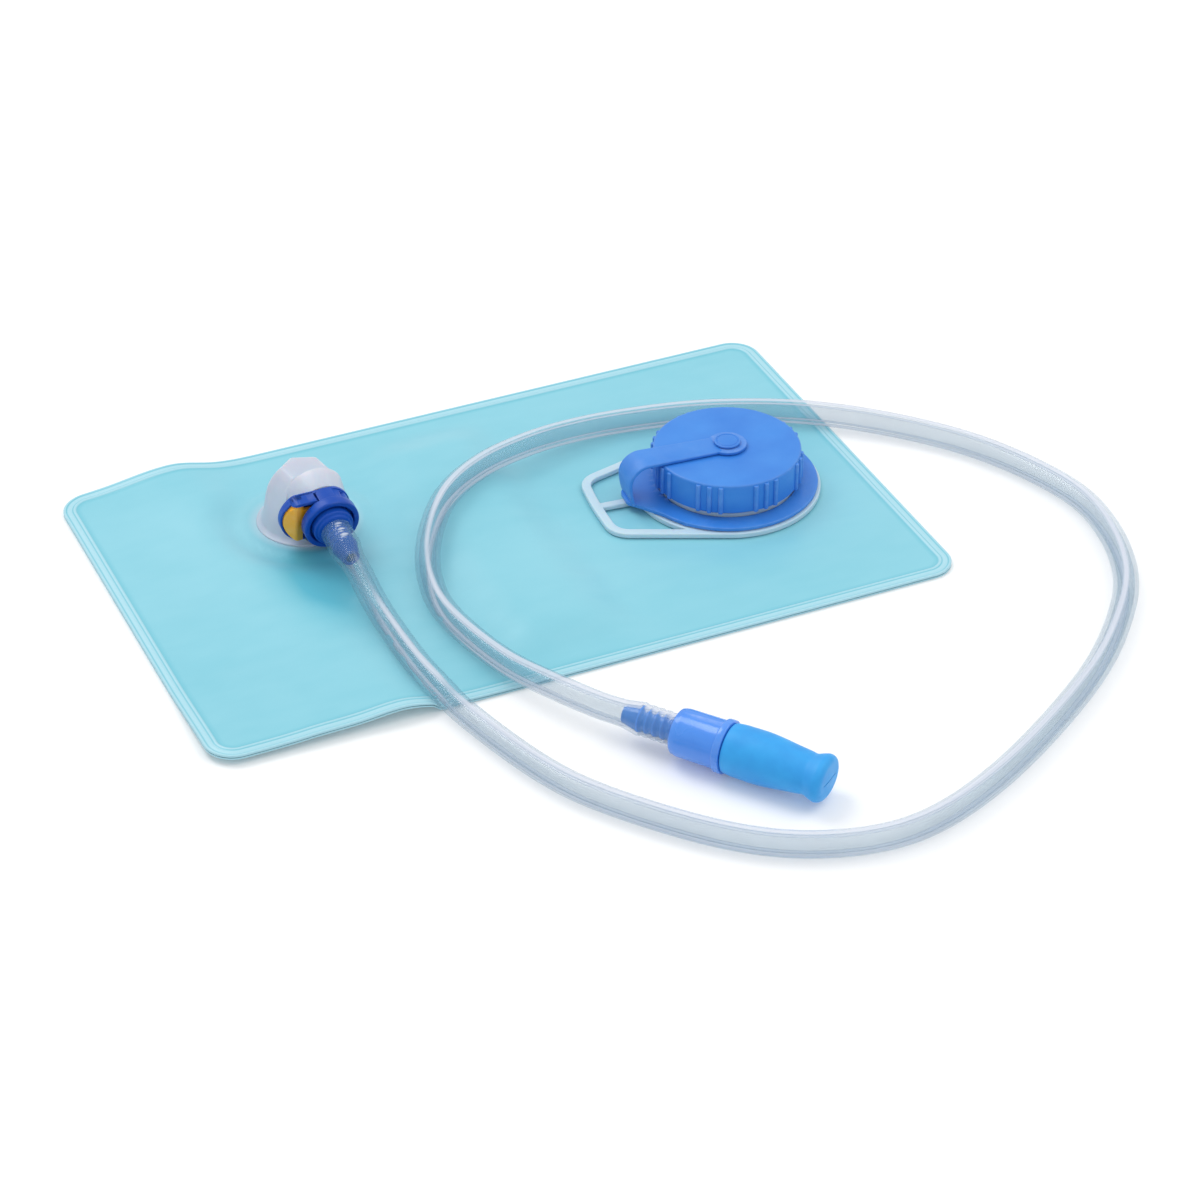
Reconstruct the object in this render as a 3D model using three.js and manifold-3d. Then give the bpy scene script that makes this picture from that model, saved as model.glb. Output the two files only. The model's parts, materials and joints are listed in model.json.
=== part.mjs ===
// Hydration bladder: a welded film bag with a screw-capped filler, an outlet port with a quick-release coupling,
// and a drink tube that ends in a bite valve. The bag lies empty on a flat surface with its tube laid out around it.
//
// Units are millimetres. X runs along the bag from the outlet end (-X) to the filler end (+X), Y runs across it and
// Z is up. The origin is the middle of the bag's footprint, on the surface it lies on.

import * as THREE from 'three';
import { mergeVertices } from 'three/addons/utils/BufferGeometryUtils.js';
import Module from 'manifold-3d';

// ---------------------------------------------------------------- driving dimensions

const GAP = 0.3; // between pieces that touch on the real object

const BAG_LENGTH = 290;
const BAG_WIDTH = 180;
const BAG_CORNER = 11;
const FILM = 0.5;
const UPPER_Z = FILM + GAP; // underside of the upper film at its welded border
const UPPER_TOP = UPPER_Z + FILM;

// The water space between the films: a low hump with a level top
const HUMP = { xLow: -24, xHigh: 16, yHalf: 70, slope: 10, rise: 4.3, corner: 8 };

// Filler: collar, tether and screw cap, all round one upright axis
const FILLER = { x: 90, y: -5, turnDeg: -5.5 };
const FLANGE_RADIUS = 35.8;
const FLANGE_Z = UPPER_TOP + GAP;
const FLANGE_TOP = FLANGE_Z + 1.5;
const NECK_BORE = 22;
const NECK_RADIUS = 24.3;
const NECK_TOP = 15.9;
const SHOULDER_RADIUS = 26.3;
const SHOULDER_TOP = 6.5;
const HANDLE_REACH = 53.8; // cap axis to the outer face of the handle's bar
const HANDLE_BAR = 3.6;
const HANDLE_LEAN_DEG = 18.5; // how much each side of the handle leans in towards its bar
const HANDLE_CORNER = 7;
const LUG_REACH = 41; // cap axis to the end of the tether ring's lug
const THREAD_LEAD = 4.5;
const THREAD_WIRE = 1.1; // radius of the round thread ridges
const THREAD_START_Z = 9.4;

const RING = { inner: 26.8, outer: 34.7, z: FLANGE_TOP + GAP, top: FLANGE_TOP + GAP + 1.5 };
const CAP = { radius: 28, inner: 26.2, low: 7.7, high: 19.7, roof: 1.8 };
const CAP_RIB = { groups: 8, perGroup: 3, pitchDeg: 8.5, radius: 0.95, firstDeg: 9.7 };
const PIN_RADIUS = 3;
const PIN_DEPTH = 2; // how far the pin stands in the cap
const STRAP_WIDTH = 9.5;
const STRAP_Z = CAP.high + GAP;
const STRAP_THICKNESS = 1.2;

// Outlet port on the upper film, and the axis of the coupling that leaves it, drooping slightly
const PORT = { x: -64, y: 37.8, weldRadius: 23, baseRadius: 18.3, cavity: 9.5 };
const COUPLING = { x: -62.5, y: 22.8, z: 17, droopDeg: 9 };
const SPIGOT_RADIUS = 6;
const BORE_RADIUS = 4.2;
const REAR_FLANGE = { radius: 12, front: 1.5 };
const LOBE = { y: -7, radius: 11.1 }; // the rear flange's round lobe behind the button
const HOOD = { low: 8.3, top: 9.6, yLow: -16.5, yHigh: -3, front: 5.6 }; // visor over the button
const SHELL_RADIUS = 12;
const FRONT_RING = { radius: 11.3, start: 6.3, end: 10.5 };
const LATCH = { start: 3.2, end: 4.6, halfHeight: 6.2, inner: 6.5, travel: 2.5 };
const WINDOW_HALF = 10.8; // half height of the gap in the shell that the button's pad fills
const PAD = { radius: 9.9, top: 8, inner: -9.1, back: 1.8, edge: 3.2, crest: 6, crestY: -12.5, waist: 4.3 };
const NOSE_RADIUS = BORE_RADIUS - GAP;
const CHANNEL_RADIUS = 2;
const PLUG_TIP = 29.5; // far end of the plug's barb, along the coupling's axis

// Bite valve: where the holder's body starts, the axis height and its heading
const VALVE = { x: 2.7, y: -146, z: 9.7, headingDeg: -53 };
const HOLDER = { radius: 8.6, lip: 9.6, lipStart: 17, lipEnd: 19.6, spigot: 5.2, bead: 5.8, end: 31, barb: 20.5 };
const VALVE_END = 57.3;

// Drink tube: outer radius, and its centre line from the plug's barb to the holder's barb
const TUBE_RADIUS = 4.75;
const TUBE_STEPS = 78;
const TUBE_ROUTE = [
  [-62.5, -6.8, 12.3],
  [-62.5, -14.7, 11],
  [-62.9, -34, 7.8],
  [-62, -68, 6.4],
  [-60.2, -85, 6.3],
  [-57.6, -99, 5.2],
  [-45, -142, 5],
  [-34, -163, 5],
  [-5, -198, 5],
  [16, -213, 5],
  [39.5, -220.5, 5],
  [60.5, -220, 5],
  [95, -207, 5],
  [152, -170.5, 5],
  [179, -144.5, 5],
  [193.5, -124.5, 5],
  [203, -99, 5],
  [205.5, -73, 5],
  [199, -48, 5],
  [184.5, -20, 5],
  [160, 6.5, 5.6],
  [134.5, 24.5, 6.5],
  [100.5, 39.8, 6.5],
  [69, 46, 6.8],
  [48, 45.4, 8.2],
  [28.5, 41, 10.2],
  [8, 34.5, 10.8],
  [-8.8, 24.6, 10.8],
  [-21, 11.8, 10.8],
  [-33.5, -8.5, 8.8],
  [-39.4, -26.5, 7],
  [-41, -44.5, 6.5],
  [-34.3, -80.5, 7.2],
  [-25.2, -104.5, 9.3],
  [-15.4, -122, 9.7],
  [-10, -129.15, 9.7],
];

// ---------------------------------------------------------------- shape helpers

const wasm = await Module();
wasm.setup();
const radians = THREE.MathUtils.degToRad;

// A closed solid from a three.js geometry: corners merged, collapsed triangles dropped, faces turned outwards
function solid(geometry) {
  const plain = geometry.clone();
  plain.deleteAttribute('normal');
  plain.deleteAttribute('uv');
  const merged = mergeVertices(plain, 1e-3);
  const points = merged.attributes.position;
  const triangles = [];
  let volume = 0;
  for (let i = 0; i < merged.index.count; i += 3) {
    const [a, b, c] = [0, 1, 2].map((k) => merged.index.getX(i + k));
    if (a === b || b === c || c === a) continue;
    triangles.push([a, b, c]);
    const [pa, pb, pc] = [a, b, c].map((k) => new THREE.Vector3().fromBufferAttribute(points, k));
    volume += pa.dot(pb.cross(pc)) / 6;
  }
  if (volume < 0) triangles.forEach((triangle) => triangle.reverse());
  const mesh = new wasm.Mesh({
    numProp: 3,
    vertProperties: Float32Array.from(points.array),
    triVerts: Uint32Array.from(triangles.flat()),
  });
  return new wasm.Manifold(mesh);
}

// A three.js geometry from a solid
function surface(manifold) {
  const mesh = manifold.getMesh();
  const geometry = new THREE.BufferGeometry();
  geometry.setAttribute('position', new THREE.BufferAttribute(mesh.vertProperties, 3));
  geometry.setIndex(new THREE.BufferAttribute(mesh.triVerts, 1));
  geometry.computeVertexNormals();
  return geometry;
}

// Round body about the Z axis from [radius, z] points
function turnedUp(profile, segments = 40) {
  const points = profile.map(([radius, z]) => new THREE.Vector2(radius, z));
  return solid(new THREE.LatheGeometry(points, segments).rotateX(Math.PI / 2));
}

// Round body about the X axis from [x, radius] points
function turnedAlong(profile, segments = 24) {
  const points = profile.map(([x, radius]) => new THREE.Vector2(radius, x));
  return solid(new THREE.LatheGeometry(points, segments).rotateZ(-Math.PI / 2));
}

// A tube wall or washer needs its last point joined to its first
const closed = (profile) => [...profile, profile[0]];

function washerUp(inner, outer, low, high, segments) {
  return turnedUp(closed([[inner, low], [outer, low], [outer, high], [inner, high]]), segments);
}

function rodUp(radius, low, high, segments) {
  return turnedUp([[0, low], [radius, low], [radius, high], [0, high]], segments);
}

function rodAlong(radius, start, end, segments) {
  return turnedAlong([[start, 0], [start, radius], [end, radius], [end, 0]], segments);
}

function block(x0, x1, y0, y1, z0, z1) {
  const box = new THREE.BoxGeometry(x1 - x0, y1 - y0, z1 - z0);
  return solid(box.translate((x0 + x1) / 2, (y0 + y1) / 2, (z0 + z1) / 2));
}

function plate(shape, low, high, curveSegments = 8) {
  const options = { depth: high - low, bevelEnabled: false, curveSegments };
  return solid(new THREE.ExtrudeGeometry(shape, options).translate(0, 0, low));
}

// Rectangle with round corners between two x values and two y values
function roundedRectangle(x0, x1, y0, y1, radius) {
  const shape = new THREE.Shape();
  shape.absarc(x1 - radius, y1 - radius, radius, 0, Math.PI / 2);
  shape.absarc(x0 + radius, y1 - radius, radius, Math.PI / 2, Math.PI);
  shape.absarc(x0 + radius, y0 + radius, radius, Math.PI, 1.5 * Math.PI);
  shape.absarc(x1 - radius, y0 + radius, radius, 1.5 * Math.PI, 2 * Math.PI);
  return shape;
}

// Solid between a lower and a higher outline that have the same number of points
function loft(lowShape, highShape, low, high) {
  const lowPoints = lowShape.extractPoints(5).shape;
  const highPoints = highShape.extractPoints(5).shape;
  const count = lowPoints.length;
  const corners = [
    ...lowPoints.map((point) => [point.x, point.y, low]),
    ...highPoints.map((point) => [point.x, point.y, high]),
  ];
  const faces = [];
  THREE.ShapeUtils.triangulateShape(lowPoints, []).forEach(([a, b, c]) => {
    faces.push([a, c, b], [a + count, b + count, c + count]);
  });
  for (let i = 0; i < count; i += 1) {
    const next = (i + 1) % count;
    faces.push([i, next, next + count], [i, next + count, i + count]);
  }
  const geometry = new THREE.BufferGeometry();
  geometry.setAttribute('position', new THREE.Float32BufferAttribute(corners.flat(), 3));
  geometry.setIndex(faces.flat());
  return solid(geometry);
}

// Regular polygon section for rods that follow a curve
function polygonSection(radius, sides) {
  const corner = (i) => (2 * Math.PI * i) / sides;
  const points = Array.from({ length: sides }, (_, i) =>
    new THREE.Vector2(radius * Math.cos(corner(i)), radius * Math.sin(corner(i))));
  return new THREE.Shape(points);
}

function rodOnCurve(curve, radius, sides, steps) {
  const options = { steps, extrudePath: curve, bevelEnabled: false };
  return solid(new THREE.ExtrudeGeometry(polygonSection(radius, sides), options));
}

// Right-handed helix about Z
class Helix extends THREE.Curve {
  constructor(radius, lead, startTurn, endTurn, zeroZ) {
    super();
    Object.assign(this, { radius, lead, startTurn, endTurn, zeroZ });
  }

  getPoint(t, target = new THREE.Vector3()) {
    const turn = this.startTurn + (this.endTurn - this.startTurn) * t;
    const angle = 2 * Math.PI * turn;
    return target.set(this.radius * Math.cos(angle), this.radius * Math.sin(angle), this.zeroZ + this.lead * turn);
  }
}

function threadRidge(radius, startTurn, endTurn, zeroZ) {
  const helix = new Helix(radius, THREAD_LEAD, startTurn, endTurn, zeroZ);
  return rodOnCurve(helix, THREAD_WIRE, 5, Math.round(30 * (endTurn - startTurn)));
}

function coilSpring(radius, wire, length, turns) {
  const height = length - 2 * wire;
  return rodOnCurve(new Helix(radius, height / turns, 0, turns, wire), wire, 5, Math.round(9 * turns));
}

// Round seal about the X axis
function sealRing(x, radius, wire) {
  return solid(new THREE.TorusGeometry(radius, wire, 6, 20).rotateY(Math.PI / 2).translate(x, 0, 0));
}

// Three barbs on a stem, pointing from the shoulder at x = start to the tip at x = end
function barbProfile(start, end) {
  const stem = 2.9;
  const crest = 3.9;
  const way = Math.sign(end - start);
  const tooth = 3.2;
  const profile = [[start, stem]];
  for (let i = 0; i < 3; i += 1) {
    const edge = start + way * (2.4 + i * tooth);
    profile.push([edge, stem], [edge + way * 0.3, crest]);
    if (i < 2) profile.push([edge + way * (tooth - 0.4), stem + 0.2]);
  }
  profile.push([end, stem]);
  return profile;
}

// ---------------------------------------------------------------- colours

function finish(colour, roughness, opacity = 1) {
  return new THREE.MeshStandardMaterial({ color: colour, roughness, metalness: 0, opacity, transparent: opacity < 1 });
}

const STEEL = new THREE.MeshStandardMaterial({ color: 0xb9bdc2, roughness: 0.3, metalness: 1 });

// ---------------------------------------------------------------- bag

const bagOutline = () =>
  roundedRectangle(-BAG_LENGTH / 2, BAG_LENGTH / 2, -BAG_WIDTH / 2, BAG_WIDTH / 2, BAG_CORNER);

function lowerFilm() {
  return plate(bagOutline(), 0, FILM);
}

function hump(drop) {
  const { xLow, xHigh, yHalf, slope, rise, corner } = HUMP;
  const foot = roundedRectangle(xLow - slope, xHigh + slope, -yHalf - slope, yHalf + slope, corner + slope);
  const crown = roundedRectangle(xLow, xHigh, -yHalf, yHalf, corner);
  return loft(foot, crown, UPPER_TOP - drop, UPPER_TOP + rise - drop);
}

function upperFilm() {
  const neckHole = rodUp(NECK_BORE + 1, -1, 5).translate(FILLER.x, FILLER.y, 0);
  const portHole = rodUp(PORT.cavity + 1, -1, 5).translate(PORT.x, PORT.y, 0);
  return plate(bagOutline(), UPPER_Z, UPPER_TOP)
    .add(hump(0))
    .subtract(hump(FILM))
    .subtract(neckHole)
    .subtract(portHole);
}

// ---------------------------------------------------------------- filler, about its own axis

// Trapezoid from the handle's bar to where its sides touch a circle about the axis
function handleOutline(reach, circle) {
  const lean = radians(HANDLE_LEAN_DEG);
  const [normalX, normalY] = [-Math.sin(lean), Math.cos(lean)];
  const sideY = (x) => (circle - x * normalX) / normalY;
  const touchX = FLANGE_RADIUS * normalX;
  const corner = HANDLE_CORNER - (HANDLE_REACH - reach);
  const top = sideY(-reach);
  const shape = new THREE.Shape();
  shape.moveTo(touchX, -sideY(touchX));
  shape.lineTo(touchX, sideY(touchX));
  shape.lineTo(-reach + corner, sideY(-reach + corner));
  shape.quadraticCurveTo(-reach, top, -reach, top - corner);
  shape.lineTo(-reach, corner - top);
  shape.quadraticCurveTo(-reach, -top, -reach + corner, -sideY(-reach + corner));
  shape.closePath();
  return shape;
}

function fillCollar() {
  const loop = plate(handleOutline(HANDLE_REACH, FLANGE_RADIUS), FLANGE_Z, FLANGE_TOP)
    .subtract(plate(handleOutline(HANDLE_REACH - HANDLE_BAR, FLANGE_RADIUS - HANDLE_BAR), 0, 5));
  const half = HANDLE_BAR / 2;
  const strut = block(-HANDLE_REACH + 1, -FLANGE_RADIUS + 2, -half, half, FLANGE_Z, FLANGE_TOP);
  const neck = turnedUp([
    [0, FLANGE_Z],
    [FLANGE_RADIUS, FLANGE_Z],
    [FLANGE_RADIUS, FLANGE_TOP],
    [SHOULDER_RADIUS, FLANGE_TOP],
    [SHOULDER_RADIUS, SHOULDER_TOP],
    [NECK_RADIUS, SHOULDER_TOP],
    [NECK_RADIUS, NECK_TOP],
    [0, NECK_TOP],
  ], 44);
  return neck
    .add(loop)
    .add(strut)
    .add(threadRidge(NECK_RADIUS, 0, 1.1, THREAD_START_Z))
    .subtract(rodUp(NECK_BORE, 0, 20, 44));
}

function tetherRing() {
  const lug = block(-LUG_REACH, -RING.outer + 2, -6, 6, RING.z, RING.top);
  return washerUp(RING.inner, RING.outer, RING.z, RING.top, 44).add(lug);
}

// Strap from the eye over the cap's edge and down to the ring's lug, as a band bent in the XZ plane
function tetherStrap() {
  const bend = { x: -33, z: STRAP_Z + STRAP_THICKNESS - 8.1, outer: 8.1, inner: 8.1 - STRAP_THICKNESS };
  const foot = RING.top + GAP;
  const footShift = 1.5;
  const start = -9.3;
  const shape = new THREE.Shape();
  shape.moveTo(start, STRAP_Z + STRAP_THICKNESS);
  shape.absarc(bend.x, bend.z, bend.outer, Math.PI / 2, Math.PI);
  shape.lineTo(bend.x - bend.outer + footShift, foot);
  shape.lineTo(bend.x - bend.inner + footShift, foot);
  shape.absarc(bend.x, bend.z, bend.inner, Math.PI, Math.PI / 2, true);
  shape.lineTo(start, STRAP_Z);
  shape.closePath();
  return plate(shape, -STRAP_WIDTH / 2, STRAP_WIDTH / 2).rotate([90, 0, 0]);
}

function tetherEye() {
  const top = STRAP_Z + STRAP_THICKNESS;
  return rodUp(6.85, STRAP_Z, top, 28)
    .add(block(-9, -3, -STRAP_WIDTH / 2, STRAP_WIDTH / 2, STRAP_Z, top))
    .subtract(rodUp(PIN_RADIUS + 0.4, STRAP_Z - 1, top + 1, 28));
}

function capPivotPin() {
  const headLow = STRAP_Z + STRAP_THICKNESS + GAP;
  return turnedUp([
    [0, CAP.high - PIN_DEPTH],
    [PIN_RADIUS, CAP.high - PIN_DEPTH],
    [PIN_RADIUS, headLow],
    [5, headLow],
    [5, headLow + 0.5],
    [4.6, headLow + 0.8],
    [0, headLow + 0.8],
  ], 28);
}

function capGasket() {
  const ceiling = CAP.high - CAP.roof;
  return washerUp(21.5, 24.5, NECK_TOP + GAP, ceiling - GAP, 36);
}

function capRibs() {
  const rib = rodUp(CAP_RIB.radius, CAP.low + 0.3, CAP.high - 0.9, 6).translate(CAP.radius, 0, 0);
  const ribs = [];
  for (let group = 0; group < CAP_RIB.groups; group += 1) {
    for (let i = 0; i < CAP_RIB.perGroup; i += 1) {
      const offset = (i - (CAP_RIB.perGroup - 1) / 2) * CAP_RIB.pitchDeg;
      ribs.push(rib.rotate([0, 0, CAP_RIB.firstDeg + (360 / CAP_RIB.groups) * group + offset]));
    }
  }
  return ribs;
}

function screwCap() {
  const ceiling = CAP.high - CAP.roof;
  const pinHole = CAP.high - PIN_DEPTH - GAP;
  const shell = turnedUp([
    [0, pinHole - 1],
    [5.5, pinHole - 1],
    [5.5, ceiling],
    [CAP.inner, ceiling],
    [CAP.inner, CAP.low],
    [CAP.radius, CAP.low],
    [CAP.radius, CAP.high - 0.8],
    [CAP.radius - 0.8, CAP.high],
    [PIN_RADIUS + GAP, CAP.high],
    [PIN_RADIUS + GAP, pinHole],
    [0, pinHole],
  ], 44);
  const ridge = threadRidge(CAP.inner - 0.1, -0.28, 0.8, THREAD_START_Z + THREAD_LEAD / 2);
  return capRibs().reduce((whole, rib) => whole.add(rib), shell.add(ridge));
}

// ---------------------------------------------------------------- outlet port, upright about its own axis

function outletPort() {
  const dome = turnedUp([
    [0, FLANGE_Z],
    [PORT.weldRadius, FLANGE_Z],
    [PORT.weldRadius, 2.4],
    [PORT.baseRadius, 2.4],
    [PORT.baseRadius, 3.3],
    [17, 3.6],
    [15.3, 9],
    [13.8, 15],
    [11.6, 20.5],
    [9.2, 24.4],
    [7.1, 26],
    [0, 26.4],
  ], 32);
  const cavity = turnedUp([
    [0, 0],
    [PORT.cavity, 0],
    [PORT.cavity, 17.5],
    [6, 21],
    [0, 21],
  ], 24);
  const onAxis = (piece) => piece
    .rotate([0, 0, -90])
    .rotate([COUPLING.droopDeg, 0, 0])
    .translate(COUPLING.x - PORT.x, COUPLING.y - PORT.y, COUPLING.z);
  const scoop = lobePlate(GAP, 0, 7.5).add(rodAlong(SHELL_RADIUS + GAP, 0, 7.5, 32));
  return dome
    .add(onAxis(rodAlong(9.8, -6, 0)))
    .subtract(cavity)
    .subtract(onAxis(rodAlong(SPIGOT_RADIUS + GAP, -14, 1)))
    .subtract(onAxis(scoop));
}

// ---------------------------------------------------------------- coupling: x outwards, y the way the latch is pressed

const CHAMBER = { seat: -5.5, start: -6.3, end: -12.6, radius: 4.3 };

// Plate across the coupling's axis: a round flange with a second, offset circle as its lobe
function lobePlate(extra, start, end) {
  const outline = new THREE.Shape();
  outline.absarc(0, 0, REAR_FLANGE.radius + extra, -Math.PI / 2, Math.PI / 2);
  outline.absarc(LOBE.y, 0, LOBE.radius + extra, Math.PI / 2, 1.5 * Math.PI);
  return plate(outline, start, end, 20).rotate([90, 0, 90]);
}

function couplingBody() {
  const body = turnedAlong(closed([
    [-13.6, 3.3],
    [-13.6, SPIGOT_RADIUS],
    [-3.7, SPIGOT_RADIUS],
    [-3.7, 4.95],
    [-2.3, 4.95],
    [-2.3, SPIGOT_RADIUS],
    [GAP, SPIGOT_RADIUS],
    [GAP, SHELL_RADIUS],
    [FRONT_RING.start, SHELL_RADIUS],
    [FRONT_RING.start, FRONT_RING.radius],
    [FRONT_RING.end, FRONT_RING.radius],
    [FRONT_RING.end, 8.6],
    [7.7, 8.6],
    [7.7, BORE_RADIUS],
    [CHAMBER.seat, BORE_RADIUS],
    [CHAMBER.seat, 2.9],
    [CHAMBER.start, 2.9],
    [CHAMBER.start, CHAMBER.radius],
    [CHAMBER.end, CHAMBER.radius],
    [CHAMBER.end, 3.3],
  ]), 32);
  const core = turnedAlong(closed([[1, BORE_RADIUS], [1, 6.2], [7, 6.2], [7, BORE_RADIUS]]), 32);
  const window = block(REAR_FLANGE.front, FRONT_RING.start, -14, -1.5, -WINDOW_HALF, WINDOW_HALF).subtract(core);
  const slotEnd = LATCH.inner + LATCH.travel + GAP;
  const halfSlot = LATCH.halfHeight + GAP;
  const slot = block(LATCH.start - GAP, LATCH.end + GAP, -14, slotEnd, -halfSlot, halfSlot);
  const springPocket = block(2.1, 5.7, LATCH.inner, 11.2, -1.8, 1.8);
  const rearFlange = lobePlate(0, GAP, REAR_FLANGE.front).subtract(rodAlong(SPIGOT_RADIUS + 1, 0, 2));
  const hood = lobePlate(0, 1, HOOD.front).intersect(block(1, HOOD.front, HOOD.yLow, HOOD.yHigh, HOOD.low, HOOD.top));
  return body.subtract(window).add(rearFlange).add(hood).subtract(slot).subtract(springPocket);
}

// The pad's front rises from its outer edge to a crest and falls back towards the front ring
function latchButton() {
  const front = new THREE.Shape();
  front.moveTo(PAD.back, PAD.inner);
  front.lineTo(PAD.back, LOBE.y - PAD.radius);
  front.lineTo(PAD.edge, LOBE.y - PAD.radius);
  front.lineTo(PAD.crest, PAD.crestY);
  front.lineTo(PAD.waist, PAD.inner);
  front.closePath();
  const pad = plate(front, -PAD.radius, PAD.top)
    .intersect(rodAlong(PAD.radius, 0, 8, 40).translate(0, LOBE.y, 0));
  const hole = { near: -6.8, far: NOSE_RADIUS + 0.4, radius: NOSE_RADIUS + 0.4 };
  const clearance = new THREE.Shape();
  clearance.absarc(hole.far - hole.radius, 0, hole.radius, -Math.PI / 2, Math.PI / 2);
  clearance.absarc(hole.near + hole.radius, 0, hole.radius, Math.PI / 2, 1.5 * Math.PI);
  const slot = plate(clearance, 0, 8).rotate([90, 0, 90]);
  const slide = block(LATCH.start, LATCH.end, PAD.inner - 1, LATCH.inner, -LATCH.halfHeight, LATCH.halfHeight);
  return pad.add(slide).subtract(slot);
}

// The spring presses on the latch's inner edge and pushes the button back out
function buttonSpring() {
  return coilSpring(1.2, 0.3, 4, 4)
    .rotate([-90, 0, 0])
    .translate((LATCH.start + LATCH.end) / 2, LATCH.inner + GAP, 0);
}

function shutoffPoppet() {
  return turnedAlong([
    [-9.9, 0],
    [-9.9, 3.8],
    [-8.9, 3.8],
    [-8.9, 1.4],
    [-4.2, 1.4],
    [-3.8, 1],
    [-3.8, 0],
  ], 20);
}

function poppetSeal() {
  return turnedAlong(closed([[-8.6, 1.7], [-8.6, 3.8], [-8, 3.8], [-8, 1.7]]), 20);
}

function poppetSpring() {
  return coilSpring(2.9, 0.3, 2.1, 2).rotate([0, -90, 0]).translate(-10.2, 0, 0);
}

function hosePlug() {
  return turnedAlong(closed([
    [-3.5, CHANNEL_RADIUS],
    [-3.5, NOSE_RADIUS - 0.5],
    [-3, NOSE_RADIUS],
    [-1.4, NOSE_RADIUS],
    [-1.4, 3],
    [-0.2, 3],
    [-0.2, NOSE_RADIUS],
    [LATCH.start - 0.4, NOSE_RADIUS],
    [LATCH.start - 0.4, 3.1],
    [LATCH.end + 0.6, 3.1],
    [LATCH.end + 0.6, NOSE_RADIUS],
    [8, NOSE_RADIUS],
    [8, 8.2],
    [12.2, 8.2],
    [12.6, 7.8],
    [12.6, 5],
    [14, 5],
    ...barbProfile(14, PLUG_TIP),
    [PLUG_TIP, CHANNEL_RADIUS],
  ]), 24);
}

// ---------------------------------------------------------------- bite valve: x outwards along its axis

function biteValveHolder() {
  return turnedAlong(closed([
    ...barbProfile(0, -HOLDER.barb).reverse(),
    [0, HOLDER.radius - 0.5],
    [0.5, HOLDER.radius],
    [HOLDER.lipStart, HOLDER.radius],
    [HOLDER.lipStart, HOLDER.lip],
    [HOLDER.lipEnd, HOLDER.lip],
    [HOLDER.lipEnd, HOLDER.spigot],
    [HOLDER.end - 3, HOLDER.spigot],
    [HOLDER.end - 2.6, HOLDER.bead],
    [HOLDER.end, HOLDER.spigot - 0.4],
    [HOLDER.end, CHANNEL_RADIUS],
    [-HOLDER.barb, CHANNEL_RADIUS],
  ]), 24);
}

// Round at the holder, flattened towards the lips, with a slit through them
function biteValve() {
  const start = HOLDER.lipEnd + GAP;
  const profile = [
    [start, 8.8],
    [26, 9.2],
    [33, 9.2],
    [40, 8.7],
    [46.5, 8.1],
    [50.3, 7.6],
    [54, 8.9],
    [56.3, 9.2],
    [VALVE_END, 8.2],
    [VALVE_END, 0],
  ];
  const points = [[start, 0], ...profile].map(([x, radius]) => new THREE.Vector2(radius, x));
  const outside = new THREE.LatheGeometry(points, 28).rotateZ(-Math.PI / 2);
  const position = outside.attributes.position;
  for (let i = 0; i < position.count; i += 1) {
    const along = THREE.MathUtils.smoothstep(position.getX(i), 28, VALVE_END);
    position.setY(i, position.getY(i) * (1 + 0.04 * along));
    position.setZ(i, position.getZ(i) * (1 - 0.12 * along));
  }
  const cavity = turnedAlong([
    [start - 1, 0],
    [start - 1, HOLDER.bead + GAP],
    [32, HOLDER.bead + GAP],
    [42, 3],
    [50, 1.5],
    [50, 0],
  ], 24);
  const slit = block(48, VALVE_END + 1, -4.5, 4.5, -0.35, 0.35);
  return solid(outside).subtract(cavity).subtract(slit);
}

// ---------------------------------------------------------------- drink tube

function drinkTube() {
  const points = TUBE_ROUTE.map((point) => new THREE.Vector3(...point));
  const route = new THREE.CatmullRomCurve3(points, false, 'centripetal');
  return rodOnCurve(route, TUBE_RADIUS, 10, TUBE_STEPS);
}

// ---------------------------------------------------------------- assembly

function addPiece(group, name, manifold, material) {
  const mesh = new THREE.Mesh(surface(manifold), material);
  mesh.name = name;
  group.add(mesh);
}

function place(parent, x, y, z, rotation) {
  const group = new THREE.Group();
  group.position.set(x, y, z);
  group.rotation.set(...rotation);
  parent.add(group);
  return group;
}

const bladder = new THREE.Group();
const film = finish(0x93d7e6, 0.35, 0.85);
const capBlue = finish(0x2f86ea, 0.45);
const couplingBlue = finish(0x193ca5, 0.3);
const white = finish(0xdfe6ef, 0.4);
const holderBlue = finish(0x4b91f0, 0.25);
const rubber = finish(0x24272b, 0.8);

addPiece(bladder, 'lower_film', lowerFilm(), film);
addPiece(bladder, 'upper_film', upperFilm(), film);

const filler = place(bladder, FILLER.x, FILLER.y, 0, [0, 0, radians(FILLER.turnDeg)]);
addPiece(filler, 'fill_collar', fillCollar(), white);
addPiece(filler, 'tether_ring', tetherRing(), capBlue);
addPiece(filler, 'tether_strap', tetherStrap(), capBlue);
addPiece(filler, 'tether_eye', tetherEye(), capBlue);
addPiece(filler, 'cap_pivot_pin', capPivotPin(), capBlue);
addPiece(filler, 'cap_gasket', capGasket(), rubber);
addPiece(filler, 'screw_cap', screwCap(), capBlue);

const port = place(bladder, PORT.x, PORT.y, 0, [0, 0, 0]);
addPiece(port, 'outlet_port', outletPort(), white);

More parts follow.
